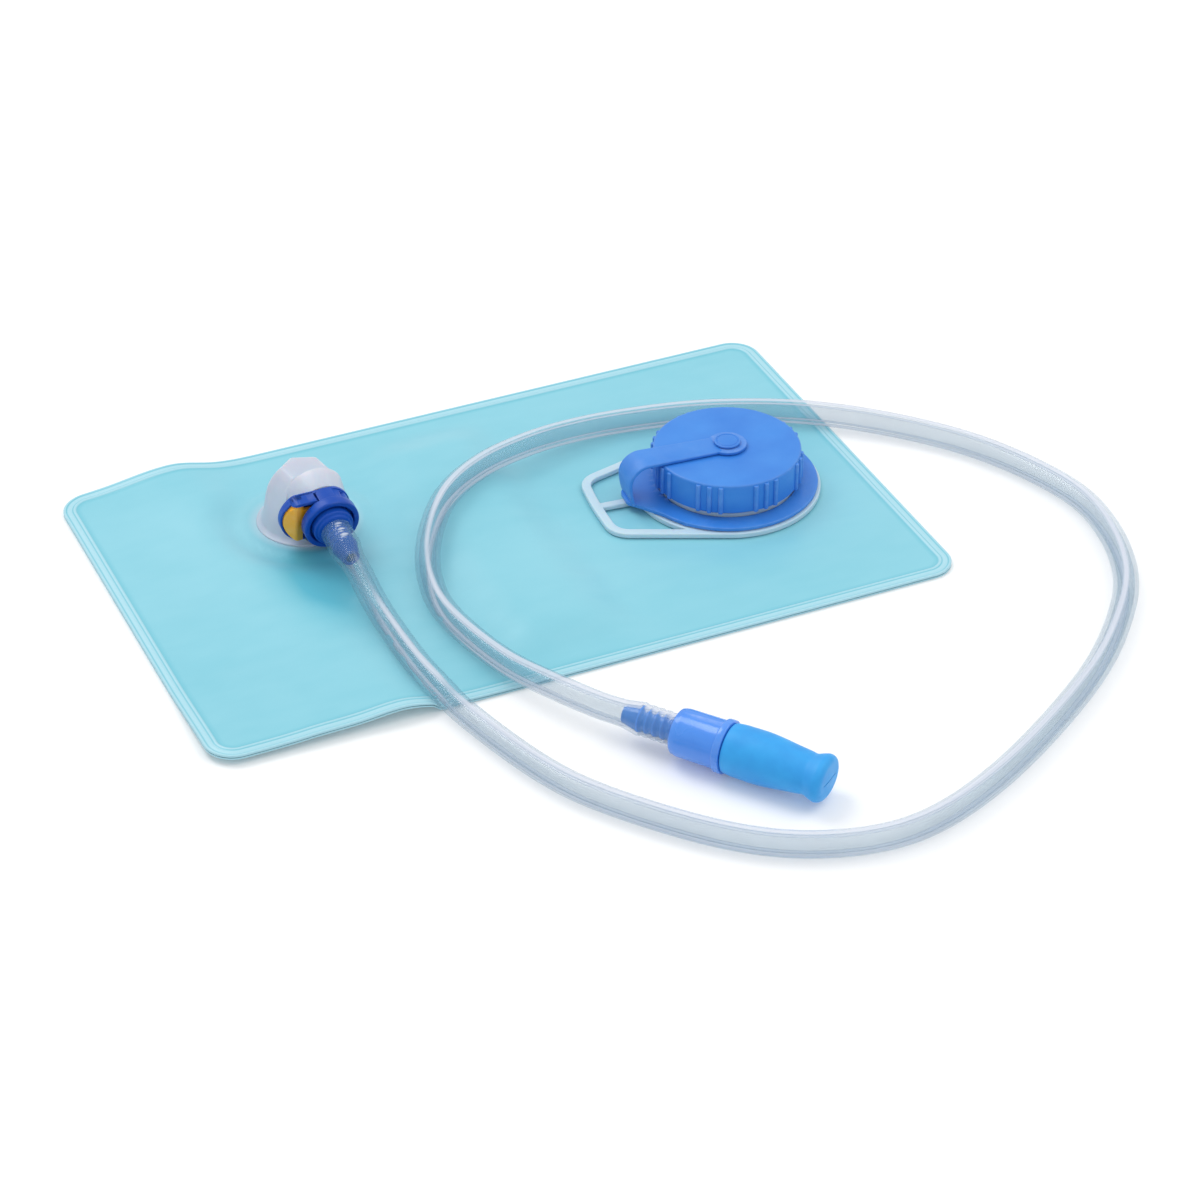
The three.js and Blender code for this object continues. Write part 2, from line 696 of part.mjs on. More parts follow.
const coupling = place(bladder, COUPLING.x, COUPLING.y, COUPLING.z, [radians(COUPLING.droopDeg), 0, -Math.PI / 2]);
addPiece(coupling, 'coupling_body', couplingBody(), couplingBlue);
addPiece(coupling, 'port_seal', sealRing(-3, 5.58, 0.5), rubber);
addPiece(coupling, 'latch_button', latchButton(), finish(0xe8a828, 0.35));
addPiece(coupling, 'button_spring', buttonSpring(), STEEL);
addPiece(coupling, 'shutoff_poppet', shutoffPoppet(), white);
addPiece(coupling, 'poppet_seal', poppetSeal(), rubber);
addPiece(coupling, 'poppet_spring', poppetSpring(), STEEL);
addPiece(coupling, 'hose_plug', hosePlug(), couplingBlue);
addPiece(coupling, 'plug_seal', sealRing(-0.8, 3.5, 0.4), rubber);

const valve = place(bladder, VALVE.x, VALVE.y, VALVE.z, [0, 0, radians(VALVE.headingDeg)]);
addPiece(valve, 'bite_valve_holder', biteValveHolder(), holderBlue);
addPiece(valve, 'bite_valve', biteValve(), finish(0x37a0e8, 0.6));

addPiece(bladder, 'drink_tube', drinkTube(), finish(0xd8dfe8, 0.2, 0.5));

export default bladder;
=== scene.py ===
# Hydration bladder, the visual model: a welded film bag that lies flat, its screw-capped filler, its
# outlet coupling, and the clear drink tube laid out round it to the bite valve. X runs along the bag,
# Y across it and Z is up. Shapes are drawn in millimetres in each part's own frame; the frames below
# turn them into metres in the shared one.

import json
import math

import bmesh
import bpy
from mathutils import Matrix, Vector, noise
from mathutils.kdtree import KDTree


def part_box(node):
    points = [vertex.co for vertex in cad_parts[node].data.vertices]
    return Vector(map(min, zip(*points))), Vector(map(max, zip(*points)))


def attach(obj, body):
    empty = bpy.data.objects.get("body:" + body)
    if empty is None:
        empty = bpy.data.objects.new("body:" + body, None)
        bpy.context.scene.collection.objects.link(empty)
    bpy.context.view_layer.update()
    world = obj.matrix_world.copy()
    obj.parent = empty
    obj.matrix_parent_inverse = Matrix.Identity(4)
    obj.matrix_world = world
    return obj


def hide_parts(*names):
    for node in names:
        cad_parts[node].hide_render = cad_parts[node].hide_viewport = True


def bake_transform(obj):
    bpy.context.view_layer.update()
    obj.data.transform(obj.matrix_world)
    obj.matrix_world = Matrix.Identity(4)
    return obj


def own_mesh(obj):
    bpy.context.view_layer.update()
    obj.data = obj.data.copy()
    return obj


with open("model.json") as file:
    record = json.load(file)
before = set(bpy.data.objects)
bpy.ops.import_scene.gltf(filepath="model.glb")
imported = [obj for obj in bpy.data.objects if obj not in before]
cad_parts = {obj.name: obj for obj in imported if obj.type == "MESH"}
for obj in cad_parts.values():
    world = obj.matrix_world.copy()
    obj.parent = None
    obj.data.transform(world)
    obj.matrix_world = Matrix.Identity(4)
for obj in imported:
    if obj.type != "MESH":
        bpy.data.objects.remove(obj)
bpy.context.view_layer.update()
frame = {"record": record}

# ------------------------ frames of the sub-assemblies

MM = 0.001
PLAIN = Matrix.Scale(MM, 4)  # millimetres of the shared frame, as metres
GAP = 0.3  # left between pieces that are not joined


def middle(node):
    low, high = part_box(node)
    return (low + high) / 2


def joint_axis(name):
    joints = frame["record"]["behaviour"]["joints"]
    return Vector(next(joint["axis"] for joint in joints if joint["name"] == name))


def upright_frame(node, turn_degrees=0):
    """Millimetres about a node's upright middle line, with z = 0 on the floor."""
    centre = middle(node)
    turn = Matrix.Rotation(math.radians(turn_degrees), 4, "Z")
    return Matrix.Translation((centre.x, centre.y, 0)) @ turn @ PLAIN


def axial_frame(point, direction):
    """Millimetres with x along a direction, y level and z upwards."""
    x_axis = direction.normalized()
    y_axis = Vector((0, 0, 1)).cross(x_axis).normalized()
    turn = Matrix((x_axis, y_axis, x_axis.cross(y_axis))).transposed().to_4x4()
    return Matrix.Translation(point) @ turn @ PLAIN


FILLER = upright_frame("screw_cap", -5.5)
PORT = upright_frame("outlet_port")
OUTWARD = joint_axis("plug_release")
SEAL_TO_FLANGE = 3 * MM  # the port's seal sits this far behind the coupling's origin
COUPLING = axial_frame(middle("port_seal") + SEAL_TO_FLANGE * OUTWARD, OUTWARD)
VALVE_START = Vector((0.0027, -0.1460, 0.0097))
VALVE = axial_frame(VALVE_START, joint_axis("bite_valve_pull"))

# ------------------------ driving sizes, millimetres

BAG_HALF_LENGTH = 145
BAG_HALF_WIDTH = 90
BAG_CORNER = 11
FILM = 0.5
RIDGE = {"x": -88, "slant": 12, "height": 4.6, "outlet_side": 24, "filler_side": 15}
CORNER_LIFT = 2.2  # the near corner of the outlet end stands this far off the floor
HUMP = {"x": -4, "x_half": 30, "y_half": 80, "slope": 22, "height": 4.2}

TUBE_OUTER = 4.75
TUBE_INNER = 3.2
PLUG_TIP = 29.5
PLUG_SHOULDER = 14
HOLDER_TIP = -20.5

# The hose's centre line from the plug's barb to the holder's barb, in the shared frame
HOSE_ROUTE = [
    (-62.5, -6.8, 12.3), (-62.5, -14.7, 11), (-62.9, -34, 7.8), (-62, -68, 6.4),
    (-60.2, -85, 6.3), (-57.6, -99, 5.2), (-45, -142, 5), (-34, -163, 5),
    (-5, -198, 5), (16, -213, 5), (39.5, -220.5, 5), (60.5, -220, 5),
    (95, -207, 5), (152, -170.5, 5), (179, -144.5, 5), (193.5, -124.5, 5),
    (203, -99, 5), (205.5, -73, 5), (199, -48, 5), (184.5, -20, 5),
    (160, 6.5, 5.6), (134.5, 24.5, 6.5), (100.5, 39.8, 6.5), (69, 46, 6.8),
    (48, 45.4, 8.2), (28.5, 41, 10.2), (8, 34.5, 10.8), (-8.8, 24.6, 10.8),
    (-21, 11.8, 10.8), (-33.5, -8.5, 8.8), (-39.4, -26.5, 7), (-41, -44.5, 6.5),
    (-34.3, -80.5, 7.2), (-25.2, -104.5, 9.3), (-15.4, -122, 9.7), (-10, -129.15, 9.7),
]

# ------------------------ camera


def make_camera():
    data = bpy.data.cameras.new("camera")
    data.lens = 107.4
    data.sensor_width = 36
    data.clip_start = 0.01
    camera = bpy.data.objects.new("camera", data)
    camera.location = (-0.4235, -1.0210, 0.7480)
    camera.rotation_euler = (math.radians(54.9), 0, math.radians(-24.4))
    bpy.context.scene.collection.objects.link(camera)
    bpy.context.scene.camera = camera


make_camera()

# ------------------------ materials


def linear(colour):
    """sRGB values from 0 to 255 as linear ones."""
    scaled = [c / 255 for c in colour]
    return [c / 12.92 if c <= 0.04045 else ((c + 0.055) / 1.055) ** 2.4 for c in scaled]


def make_material(name, roughness, **sockets):
    material = bpy.data.materials.new(name)
    material.use_nodes = True
    shader = material.node_tree.nodes["Principled BSDF"]
    shader.inputs["Roughness"].default_value = roughness
    for socket, value in sockets.items():
        shader.inputs[socket.replace("_", " ")].default_value = value
    return material, material.node_tree, shader


def feed(tree, socket, value):
    """Links another node's output to a socket, or sets the socket's own value."""
    if isinstance(value, bpy.types.NodeSocket):
        tree.links.new(value, socket)
    else:
        socket.default_value = value


def add_node(tree, kind, **settings):
    """Adds a node; each setting is an input, with _ for a space in its name, or else a property."""
    node = tree.nodes.new(kind)
    for key, value in settings.items():
        socket = key.replace("_", " ")
        if socket in node.inputs:
            feed(tree, node.inputs[socket], value)
        else:
            setattr(node, key, value)
    return node


def on_object(tree):
    """Place on the object, in metres."""
    return add_node(tree, "ShaderNodeTexCoord").outputs["Object"]


def add_noise(tree, scale, detail=3.0, stretch=(1, 1, 1)):
    """Noise in the object's own space, with its scale in turns per metre."""
    mapping = add_node(tree, "ShaderNodeMapping", Vector=on_object(tree), Scale=stretch)
    place = mapping.outputs["Vector"]
    return add_node(tree, "ShaderNodeTexNoise", Scale=scale, Detail=detail, Vector=place).outputs["Fac"]


def maths(tree, operation, *values):
    node = add_node(tree, "ShaderNodeMath", operation=operation)
    for socket, value in zip(node.inputs, values):
        feed(tree, socket, value)
    return node.outputs[0]


def add_ramp(tree, source, stops):
    """Ramp whose stops are (position, linear colour or grey)."""
    ramp = add_node(tree, "ShaderNodeValToRGB", Fac=source)
    elements = ramp.color_ramp.elements
    while len(elements) < len(stops):
        elements.new(0.5)
    for element, (position, value) in zip(elements, stops):
        element.position = position
        element.color = (*value, 1) if hasattr(value, "__len__") else (value, value, value, 1)
    return ramp.outputs["Color"]


def mix_colours(tree, factor, first, second):
    """Blends from the first colour, a node's output, to the second, an output or a linear colour."""
    mix = add_node(tree, "ShaderNodeMix", data_type="RGBA")
    second = second if isinstance(second, bpy.types.NodeSocket) else (*second, 1)
    for index, value in ((0, factor), (6, first), (7, second)):
        feed(tree, mix.inputs[index], value)
    return mix.outputs[2]


def add_cloud(tree, scale, deeper, colour, detail=4):
    """Uneven pigment between two sRGB colours."""
    return add_ramp(tree, add_noise(tree, scale, detail), [(0.3, linear(deeper)), (0.7, linear(colour))])


def add_roughness(tree, shader, scale, low, high):
    level = add_ramp(tree, add_noise(tree, scale, 4), [(0.3, low), (0.7, high)])
    tree.links.new(level, shader.inputs["Roughness"])


def add_bump(tree, shader, layers):
    """Bump layers one on the other: (noise scale, height in metres) and, where it isn't even, stretch."""
    normal = None
    for scale, height, *stretch in layers:
        grain = add_noise(tree, scale, 3, *stretch)
        bump = add_node(tree, "ShaderNodeBump", Strength=1.0, Distance=height, Height=grain)
        if normal is not None:
            tree.links.new(normal, bump.inputs["Normal"])
        normal = bump.outputs["Normal"]
    tree.links.new(normal, shader.inputs["Normal"])


def add_edge_wear(tree, base, worn, amount):
    """Lighter, rubbed colour on convex edges, broken up by noise."""
    geometry = add_node(tree, "ShaderNodeNewGeometry")
    edges = add_ramp(tree, geometry.outputs["Pointiness"], [(0.51, 0), (0.58, amount)])
    patches = add_ramp(tree, add_noise(tree, 260, 4), [(0.38, 0.25), (0.7, 1)])
    return mix_colours(tree, maths(tree, "MULTIPLY", edges, patches), base, worn)


def moulded_plastic(name, colour, deeper, roughness, wear=0.35, grain=1.5e-5, **sockets):
    """Injection-moulded plastic: cloudy pigment, fine grain, rubbed edges, uneven gloss."""
    material, tree, shader = make_material(name, roughness, **sockets)
    cloud = add_cloud(tree, 60, deeper, colour)
    lighter = [0.55 * c + 0.45 for c in linear(colour)]
    tree.links.new(add_edge_wear(tree, cloud, lighter, wear), shader.inputs["Base Color"])
    add_roughness(tree, shader, 90, roughness * 0.85, roughness * 1.2)
    add_bump(tree, shader, [(1800, grain), (130, grain * 4)])
    return material


def add_edge_distance(tree):
    """Metres in from the bag's outline, the same rounded rectangle that the mesh has."""
    split = add_node(tree, "ShaderNodeSeparateXYZ", Vector=on_object(tree))
    past = []
    for axis, half in (("X", BAG_HALF_LENGTH), ("Y", BAG_HALF_WIDTH)):
        straight = (half - BAG_CORNER) * MM
        past.append(maths(tree, "SUBTRACT", maths(tree, "ABSOLUTE", split.outputs[axis]), straight))
    squares = [maths(tree, "POWER", maths(tree, "MAXIMUM", value, 0.0), 2.0) for value in past]
    outside = maths(tree, "SQRT", maths(tree, "ADD", *squares))
    inside = maths(tree, "MINIMUM", maths(tree, "MAXIMUM", *past), 0.0)
    return maths(tree, "SUBTRACT", maths(tree, "SUBTRACT", BAG_CORNER * MM, outside), inside)


def add_spot(tree, centre, reach, fall="QUADRATIC_SPHERE"):
    """1 at a place on the object, falling to 0 at an oval's edge; metres."""
    mapping = add_node(tree, "ShaderNodeMapping", vector_type="TEXTURE", Vector=on_object(tree),
                       Location=(*centre, 0), Scale=(*reach, 1))
    ball = add_node(tree, "ShaderNodeTexGradient", gradient_type=fall, Vector=mapping.outputs["Vector"])
    return ball.outputs["Fac"]


WELD_REACH = 7  # the painted highlight and shadow lines along the weld end this far in from the edge


def film_material():
    """Teal film: painted shade in the hollow beside the outlet, under the coupling, milky over the
    port's weld flange, with painted highlight and shadow lines along its welded border."""
    material, tree, shader = make_material(
        "film_teal", 0.36, IOR=1.46, Coat_Weight=0.2, Coat_Roughness=0.3, Sheen_Weight=0.05)
    shades = [(0.3, linear((121, 196, 212))), (0.68, linear((134, 202, 217)))]
    broad = add_ramp(tree, add_noise(tree, 9, 3, (1, 1.6, 1)), shades)
    fine = add_ramp(tree, add_noise(tree, 60, 5, (1, 2.5, 1)), [(0.35, 0), (0.75, 0.3)])
    film = mix_colours(tree, fine, broad, linear((142, 207, 221)))
    # Painted shade: a deeper teal in the hollow beside the outlet, under the coupling.
    painted_shade_spot = add_spot(tree, (-0.073, -0.002), (0.027, 0.052))
    painted_shade = add_ramp(tree, painted_shade_spot, [(0.0, 0), (0.42, 0.9)])
    film = mix_colours(tree, painted_shade, film, linear((84, 180, 201)))
    port = PORT.translation
    over_flange = add_spot(tree, (port.x, port.y), (0.026, 0.026), "SPHERICAL")
    milky = add_ramp(tree, over_flange, [(0.15, 0), (0.2, 0.25), (0.27, 0.75)])
    film = mix_colours(tree, milky, film, linear((172, 210, 224)))
    # Painted highlight and painted shadow: pale lines on the weld's beads and deep lines beside them, fading
    # out towards the film.
    weld_painted_highlight, weld_painted_shadow = linear((190, 224, 234)), linear((92, 184, 202))
    weld = [(0.0, weld_painted_highlight), (0.10, weld_painted_highlight), (0.16, weld_painted_shadow), (0.24, weld_painted_highlight), (0.44, weld_painted_highlight), (0.50, weld_painted_shadow), (0.56, weld_painted_highlight),
            (0.64, weld_painted_highlight), (0.72, weld_painted_shadow), (0.80, weld_painted_shadow)]
    span = add_node(tree, "ShaderNodeMapRange", From_Max=WELD_REACH * MM, Value=add_edge_distance(tree))
    lines = add_ramp(tree, span.outputs["Result"], weld)
    inner = add_ramp(tree, span.outputs["Result"], [(0.72, 0.55), (1.0, 0)])
    tree.links.new(mix_colours(tree, inner, film, lines), shader.inputs["Base Color"])
    add_roughness(tree, shader, 45, 0.3, 0.46)
    add_bump(tree, shader, [(14, 3e-4, (1, 1.8, 1)), (70, 4e-5), (900, 6e-6)])
    return material


PAINTED_HIGHLIGHT_WAY = (0, 0.12, 0.99)  # the painted highlight on the hose's wall is brightest where it faces this way


def hose_material():
    """Clear PVC: a thin blue-grey milk, deeper where the wall is seen edge on, and a painted highlight,
    a white streak along its top."""
    material, tree, shader = make_material("hose_clear", 0.1, IOR=1.45, Coat_Weight=0.6, Coat_Roughness=0.05)
    milk = add_cloud(tree, 40, (104, 150, 177), (118, 162, 187))
    normal = add_node(tree, "ShaderNodeNewGeometry").outputs["Normal"]
    toward = add_node(tree, "ShaderNodeVectorMath", operation="DOT_PRODUCT", Vector=normal)
    toward.inputs[1].default_value = PAINTED_HIGHLIGHT_WAY
    # Painted highlight: a white streak where the wall faces up, in both the colour and the cover.
    painted_highlight = add_ramp(tree, toward.outputs["Value"], [(0.93, 0), (0.985, 0.75)])
    tree.links.new(mix_colours(tree, painted_highlight, milk, linear((232, 232, 242))), shader.inputs["Base Color"])
    facing = add_node(tree, "ShaderNodeLayerWeight", Blend=0.42)
    cover = [(0.0, 0.15), (0.45, 0.18), (0.8, 0.38), (1.0, 0.62)]
    milkiness = add_ramp(tree, facing.outputs["Facing"], cover)
    tree.links.new(maths(tree, "MAXIMUM", milkiness, painted_highlight), shader.inputs["Alpha"])
    add_roughness(tree, shader, 120, 0.06, 0.16)
    add_bump(tree, shader, [(60, 3e-5), (1200, 3e-6)])
    return material


def rubber_material(name, colour, deeper, roughness=0.62):
    material, tree, shader = make_material(name, roughness, Sheen_Weight=0.15, Sheen_Roughness=0.4)
    tree.links.new(add_cloud(tree, 110, deeper, colour), shader.inputs["Base Color"])
    add_roughness(tree, shader, 200, roughness * 0.9, roughness * 1.12)
    add_bump(tree, shader, [(2600, 1.2e-5), (240, 5e-5)])
    return material


def steel_material():
    material, tree, shader = make_material("spring_steel", 0.28, Metallic=1.0)
    drawn = add_cloud(tree, 900, (168, 172, 176), (205, 208, 211), 3)
    tree.links.new(drawn, shader.inputs["Base Color"])
    add_roughness(tree, shader, 700, 0.2, 0.36)
    add_bump(tree, shader, [(2500, 6e-6)])
    return material


LOOKS = {  # by material slot
    "film": film_material(),
    "tube": hose_material(),
    "cap": moulded_plastic("cap_blue", (58, 136, 222), (46, 124, 214), 0.42, wear=0.25),
    "collar": moulded_plastic(
        "collar_white", (200, 220, 231), (188, 212, 226), 0.34, Subsurface_Weight=0.15),
    "port": moulded_plastic("port_white", (200, 205, 218), (188, 193, 209), 0.36, Subsurface_Weight=0.2),
    "coupling": moulded_plastic(
        "coupling_blue", (6, 80, 184), (4, 68, 166), 0.32, wear=0.1, Specular_IOR_Level=0.25),
    "button": moulded_plastic("button_amber", (255, 186, 36), (252, 168, 22), 0.36, wear=0.2),
    "holder": moulded_plastic("holder_blue", (74, 148, 240), (58, 132, 230), 0.24, Coat_Weight=0.4),
    "poppet": moulded_plastic("poppet_white", (222, 226, 232), (206, 212, 220), 0.3),
    "silicone": rubber_material("silicone_blue", (44, 168, 238), (34, 152, 228), 0.5),
    "seal": rubber_material("seal_black", (44, 46, 50), (30, 31, 34)),
    "spring": steel_material(),
}

# ------------------------ mesh tools, in millimetres


def smooth_step(low, high, value):
    t = min(1, max(0, (value - low) / (high - low)))
    return t * t * (3 - 2 * t)


def bell(distance, width):
    return math.exp(-((distance / width) ** 2))


def rounded(points, reach, steps=3, loop=True):
    """Corners become short curves that start `reach` before them; a point may carry its own reach."""
    result = []
    corners = [(Vector(point[:2]), point[2] if len(point) > 2 else reach) for point in points]
    for i, (corner, own_reach) in enumerate(corners):
        if not loop and i in (0, len(corners) - 1):
            result.append(corner)
            continue
        back = corners[i - 1][0] - corner
        ahead = corners[(i + 1) % len(corners)][0] - corner
        cut = min(own_reach, 0.45 * back.length, 0.45 * ahead.length)
        if cut < 1e-4:
            result.append(corner)
            continue
        start = corner + back.normalized() * cut
        end = corner + ahead.normalized() * cut
        for k in range(steps + 1):
            t = k / steps
            result.append((1 - t) ** 2 * start + 2 * t * (1 - t) * corner + t * t * end)
    return result


def bridge(mesh, first, second):
    """Faces between two rings; a ring of one vertex is a point."""
    count = max(len(first), len(second))
    for i in range(count):
        j = (i + 1) % count
        if len(first) == 1:
            mesh.faces.new((first[0], second[i], second[j]))
        elif len(second) == 1:
            mesh.faces.new((first[i], second[0], first[j]))
        else:
            mesh.faces.new((first[i], second[i], second[j], first[j]))


def bridge_all(mesh, rings):
    for first, second in zip(rings, rings[1:]):
        bridge(mesh, first, second)


def turned(profile, axis="Z", segments=96, loop=False, shape=None):
    """Round body from (radius, height) points; with loop the profile closes on itself, as a ring does.
    shape(point) may move each vertex afterwards."""
    mesh = bmesh.new()
    rings = []
    for radius, height in (tuple(point)[:2] for point in profile):
        count = 1 if radius < 1e-6 else segments
        ring = []
        for i in range(count):
            angle = 2 * math.pi * i / segments
            across = (radius * math.cos(angle), radius * math.sin(angle))
            point = Vector((*across, height)) if axis == "Z" else Vector((height, *across))
            ring.append(mesh.verts.new(shape(point) if shape else point))
        rings.append(ring)
    bridge_all(mesh, rings)
    if loop:
        bridge(mesh, rings[-1], rings[0])
    return mesh


def ring_of(inner, outer, low, high, fillet=0.2, axis="Z", segments=96):
    corners = [(inner, low), (outer, low), (outer, high), (inner, high)]
    return turned(rounded(corners, fillet), axis, segments, loop=True)


def disc_of(radius, low, high, fillet=0.2, axis="Z", segments=96):
    corners = [(0, low), (radius, low), (radius, high), (0, high)]
    return turned(rounded(corners, fillet, loop=False), axis, segments)


def directions(path, up):
    """Sideways and upward unit vectors at each path point; without `up` they follow it untwisted."""
    sides, ups = [], []
    carried = None
    for i in range(len(path)):
        tangent = (path[min(i + 1, len(path) - 1)] - path[max(i - 1, 0)]).normalized()
        if up is not None:
            side = tangent.cross(up).normalized()
        else:
            guess = carried if carried is not None else tangent.orthogonal()
            side = (guess - tangent * guess.dot(tangent)).normalized()
        carried = side
        sides.append(side)
        ups.append(side.cross(tangent))
    return sides, ups


def swept(path, section, up=None):
    """A closed section carried along an open path and capped; section(i) gives (side, up) points."""
    mesh = bmesh.new()
    sides, ups = directions(path, up)
    rings = []
    for i, centre in enumerate(path):
        rings.append([mesh.verts.new(centre + sides[i] * u + ups[i] * v) for u, v in section(i)])
    bridge_all(mesh, rings)
    mesh.faces.new(rings[0])
    mesh.faces.new(rings[-1])
    return mesh


def circle(radius, sides):
    turns = [2 * math.pi * i / sides for i in range(sides)]
    return [(radius * math.cos(turn), radius * math.sin(turn)) for turn in turns]


def running_lengths(path):
    """Distance along the path at each of its points."""
    lengths = [0.0]
    for first, second in zip(path, path[1:]):
        lengths.append(lengths[-1] + (second - first).length)
    return lengths


def helix(radius, lead, start_turn, end_turn, zero_height, axis="Z", per_turn=40):
    steps = max(2, round(per_turn * (end_turn - start_turn)))
    path = []
    for i in range(steps + 1):
        turn = start_turn + (end_turn - start_turn) * i / steps
        angle = 2 * math.pi * turn
        across = (radius * math.cos(angle), radius * math.sin(angle))
        height = zero_height + lead * turn
        path.append(Vector((*across, height)) if axis == "Z" else Vector((height, *across)))
    return path


def extruded(outline, low, high, axis="Z"):
    """Straight-sided plate over a closed outline; on the X axis the outline's points are (y, z)."""
    mesh = bmesh.new()
    rings = []
    for height in (low, high):
        points = [(*p, height) if axis == "Z" else (height, *p) for p in outline]
        rings.append([mesh.verts.new(point) for point in points])
    bridge(mesh, *rings)
    mesh.faces.new(rings[0])
    mesh.faces.new(rings[1])
    return mesh


def block(x0, x1, y0, y1, z0, z1):
    return extruded([(x0, y0), (x1, y0), (x1, y1), (x0, y1)], z0, z1)


def moved(mesh, offset):
    mesh.transform(Matrix.Translation(offset))
    return mesh


def as_object(mesh, name="part"):
    bmesh.ops.recalc_face_normals(mesh, faces=mesh.faces)
    data = bpy.data.meshes.new(name)
    mesh.to_mesh(data)
    mesh.free()
    obj = bpy.data.objects.new(name, data)
    bpy.context.scene.collection.objects.link(obj)
    return obj


def apply_modifiers(obj):
    bpy.context.view_layer.update()
    graph = bpy.context.evaluated_depsgraph_get()
    data = bpy.data.meshes.new_from_object(obj.evaluated_get(graph))
    obj.modifiers.clear()
    obj.data = data
    return obj


def combined(target, operation, meshes):
    """Exact boolean of an object with each mesh in turn."""
    for mesh in meshes:
        tool = as_object(mesh, "tool")
        modifier = target.modifiers.new("combine", "BOOLEAN")
        modifier.operation = operation
        modifier.solver = "EXACT"
        modifier.object = tool
        apply_modifiers(target)
        bpy.data.objects.remove(tool)
    return target


def united(target, *meshes):
    return combined(target, "UNION", meshes)


def cut(target, *meshes):
    return combined(target, "DIFFERENCE", meshes)


def softened(target, width, segments=2, angle=38):
    """Small rounds on the sharp edges that cutting leaves."""
    modifier = target.modifiers.new("soften", "BEVEL")
    modifier.width = width
    modifier.segments = segments
    modifier.limit_method = "ANGLE"
    modifier.angle_limit = math.radians(angle)
    return apply_modifiers(target)


def joined_mesh(obj):
    """The object's mesh, to be a tool of the next boolean."""
    mesh = bmesh.new()
    mesh.from_mesh(obj.data)
    bpy.data.objects.remove(obj)
    return mesh


def deliver(part, name, place, slot, body, nodes, angle=35):
    """Names a finished part, puts it in its place in metres and ties it to its CAD body."""
    obj = part if isinstance(part, bpy.types.Object) else as_object(part, name)
    obj.name = name
    obj.data.name = name
    obj.data.transform(place)
    obj.data.materials.clear()
    obj.data.materials.append(LOOKS[slot])
    obj.data.polygons.foreach_set("use_smooth", [True] * len(obj.data.polygons))
    obj.data.set_sharp_from_angle(angle=math.radians(angle))
    obj.data.update()
    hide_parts(*nodes)
    if body:
        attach(obj, body)
    return obj


# ------------------------ barbs and the hose pushed over them


def barb_radius(from_tip):
    """A cone at the tip, then three soft ridges down to the shoulder."""
    cone, low, high = 6.5, 3.3, 4.85
    if from_tip < cone:
        return low + (high - low) * max(0, from_tip) / cone
    wave = 0.5 + 0.5 * math.cos(2 * math.pi * (from_tip - cone) / 3.1)
    return 4.05 + 0.55 * wave + 0.25 * max(0, 1 - (from_tip - cone) / 1.2)


def hose_radii(from_tip):
    """Inner and outer radius of the hose, measured from the barb's tip towards its shoulder."""
    if from_tip >= 0:
        inner = max(TUBE_INNER, barb_radius(from_tip) + 0.12)
    else:
        inner = TUBE_INNER + 0.25 * math.exp(from_tip / 2.5)
    wall = TUBE_OUTER - TUBE_INNER
    swelling = inner - TUBE_INNER
    return inner, inner + wall - 0.22 * swelling


def smooth_route(points, spacing):
    """Centripetal Catmull-Rom curve through the points, evenly spaced."""
    ends = [2 * points[0] - points[1], *points, 2 * points[-1] - points[-2]]
    dense = []
    for p0, p1, p2, p3 in zip(ends, ends[1:], ends[2:], ends[3:]):
        t1 = math.sqrt((p1 - p0).length)
        t2 = t1 + math.sqrt((p2 - p1).length)
        t3 = t2 + math.sqrt((p3 - p2).length)
        steps = max(4, round((p2 - p1).length / spacing * 3))
        for k in range(steps):
            t = t1 + (t2 - t1) * k / steps
            a1 = p0.lerp(p1, t / t1)
            a2 = p1.lerp(p2, (t - t1) / (t2 - t1))
            a3 = p2.lerp(p3, (t - t2) / (t3 - t2))
            b1 = a1.lerp(a2, t / t2)
            b2 = a2.lerp(a3, (t - t1) / (t3 - t1))
            dense.append(b1.lerp(b2, (t - t1) / (t2 - t1)))
    dense.append(points[-1])
    return even(dense, spacing)


def even(points, spacing):
    lengths = running_lengths(points)
    count = round(lengths[-1] / spacing)
    result = []
    index = 0
    for k in range(count + 1):
        target = lengths[-1] * k / count
        while index < len(points) - 2 and lengths[index + 1] < target:
            index += 1
        share = (target - lengths[index]) / (lengths[index + 1] - lengths[index])
        result.append(points[index].lerp(points[index + 1], min(1, share)))
    return result


HOSE_START = 14.3  # on the coupling's axis, just clear of the plug's shoulder
HOSE_END = -0.4  # on the valve's axis, just clear of the holder


def hose_path():
    """Ring centres in millimetres of the shared frame, over both barbs."""
    first = [(COUPLING @ Vector((x, 0, 0))) / MM for x in (HOSE_START, 22)]
    last = [(VALVE @ Vector((x, 0, 0))) / MM for x in (-13, HOSE_END)]
    return smooth_route([*first, *[Vector(point) for point in HOSE_ROUTE], *last], 1.0)


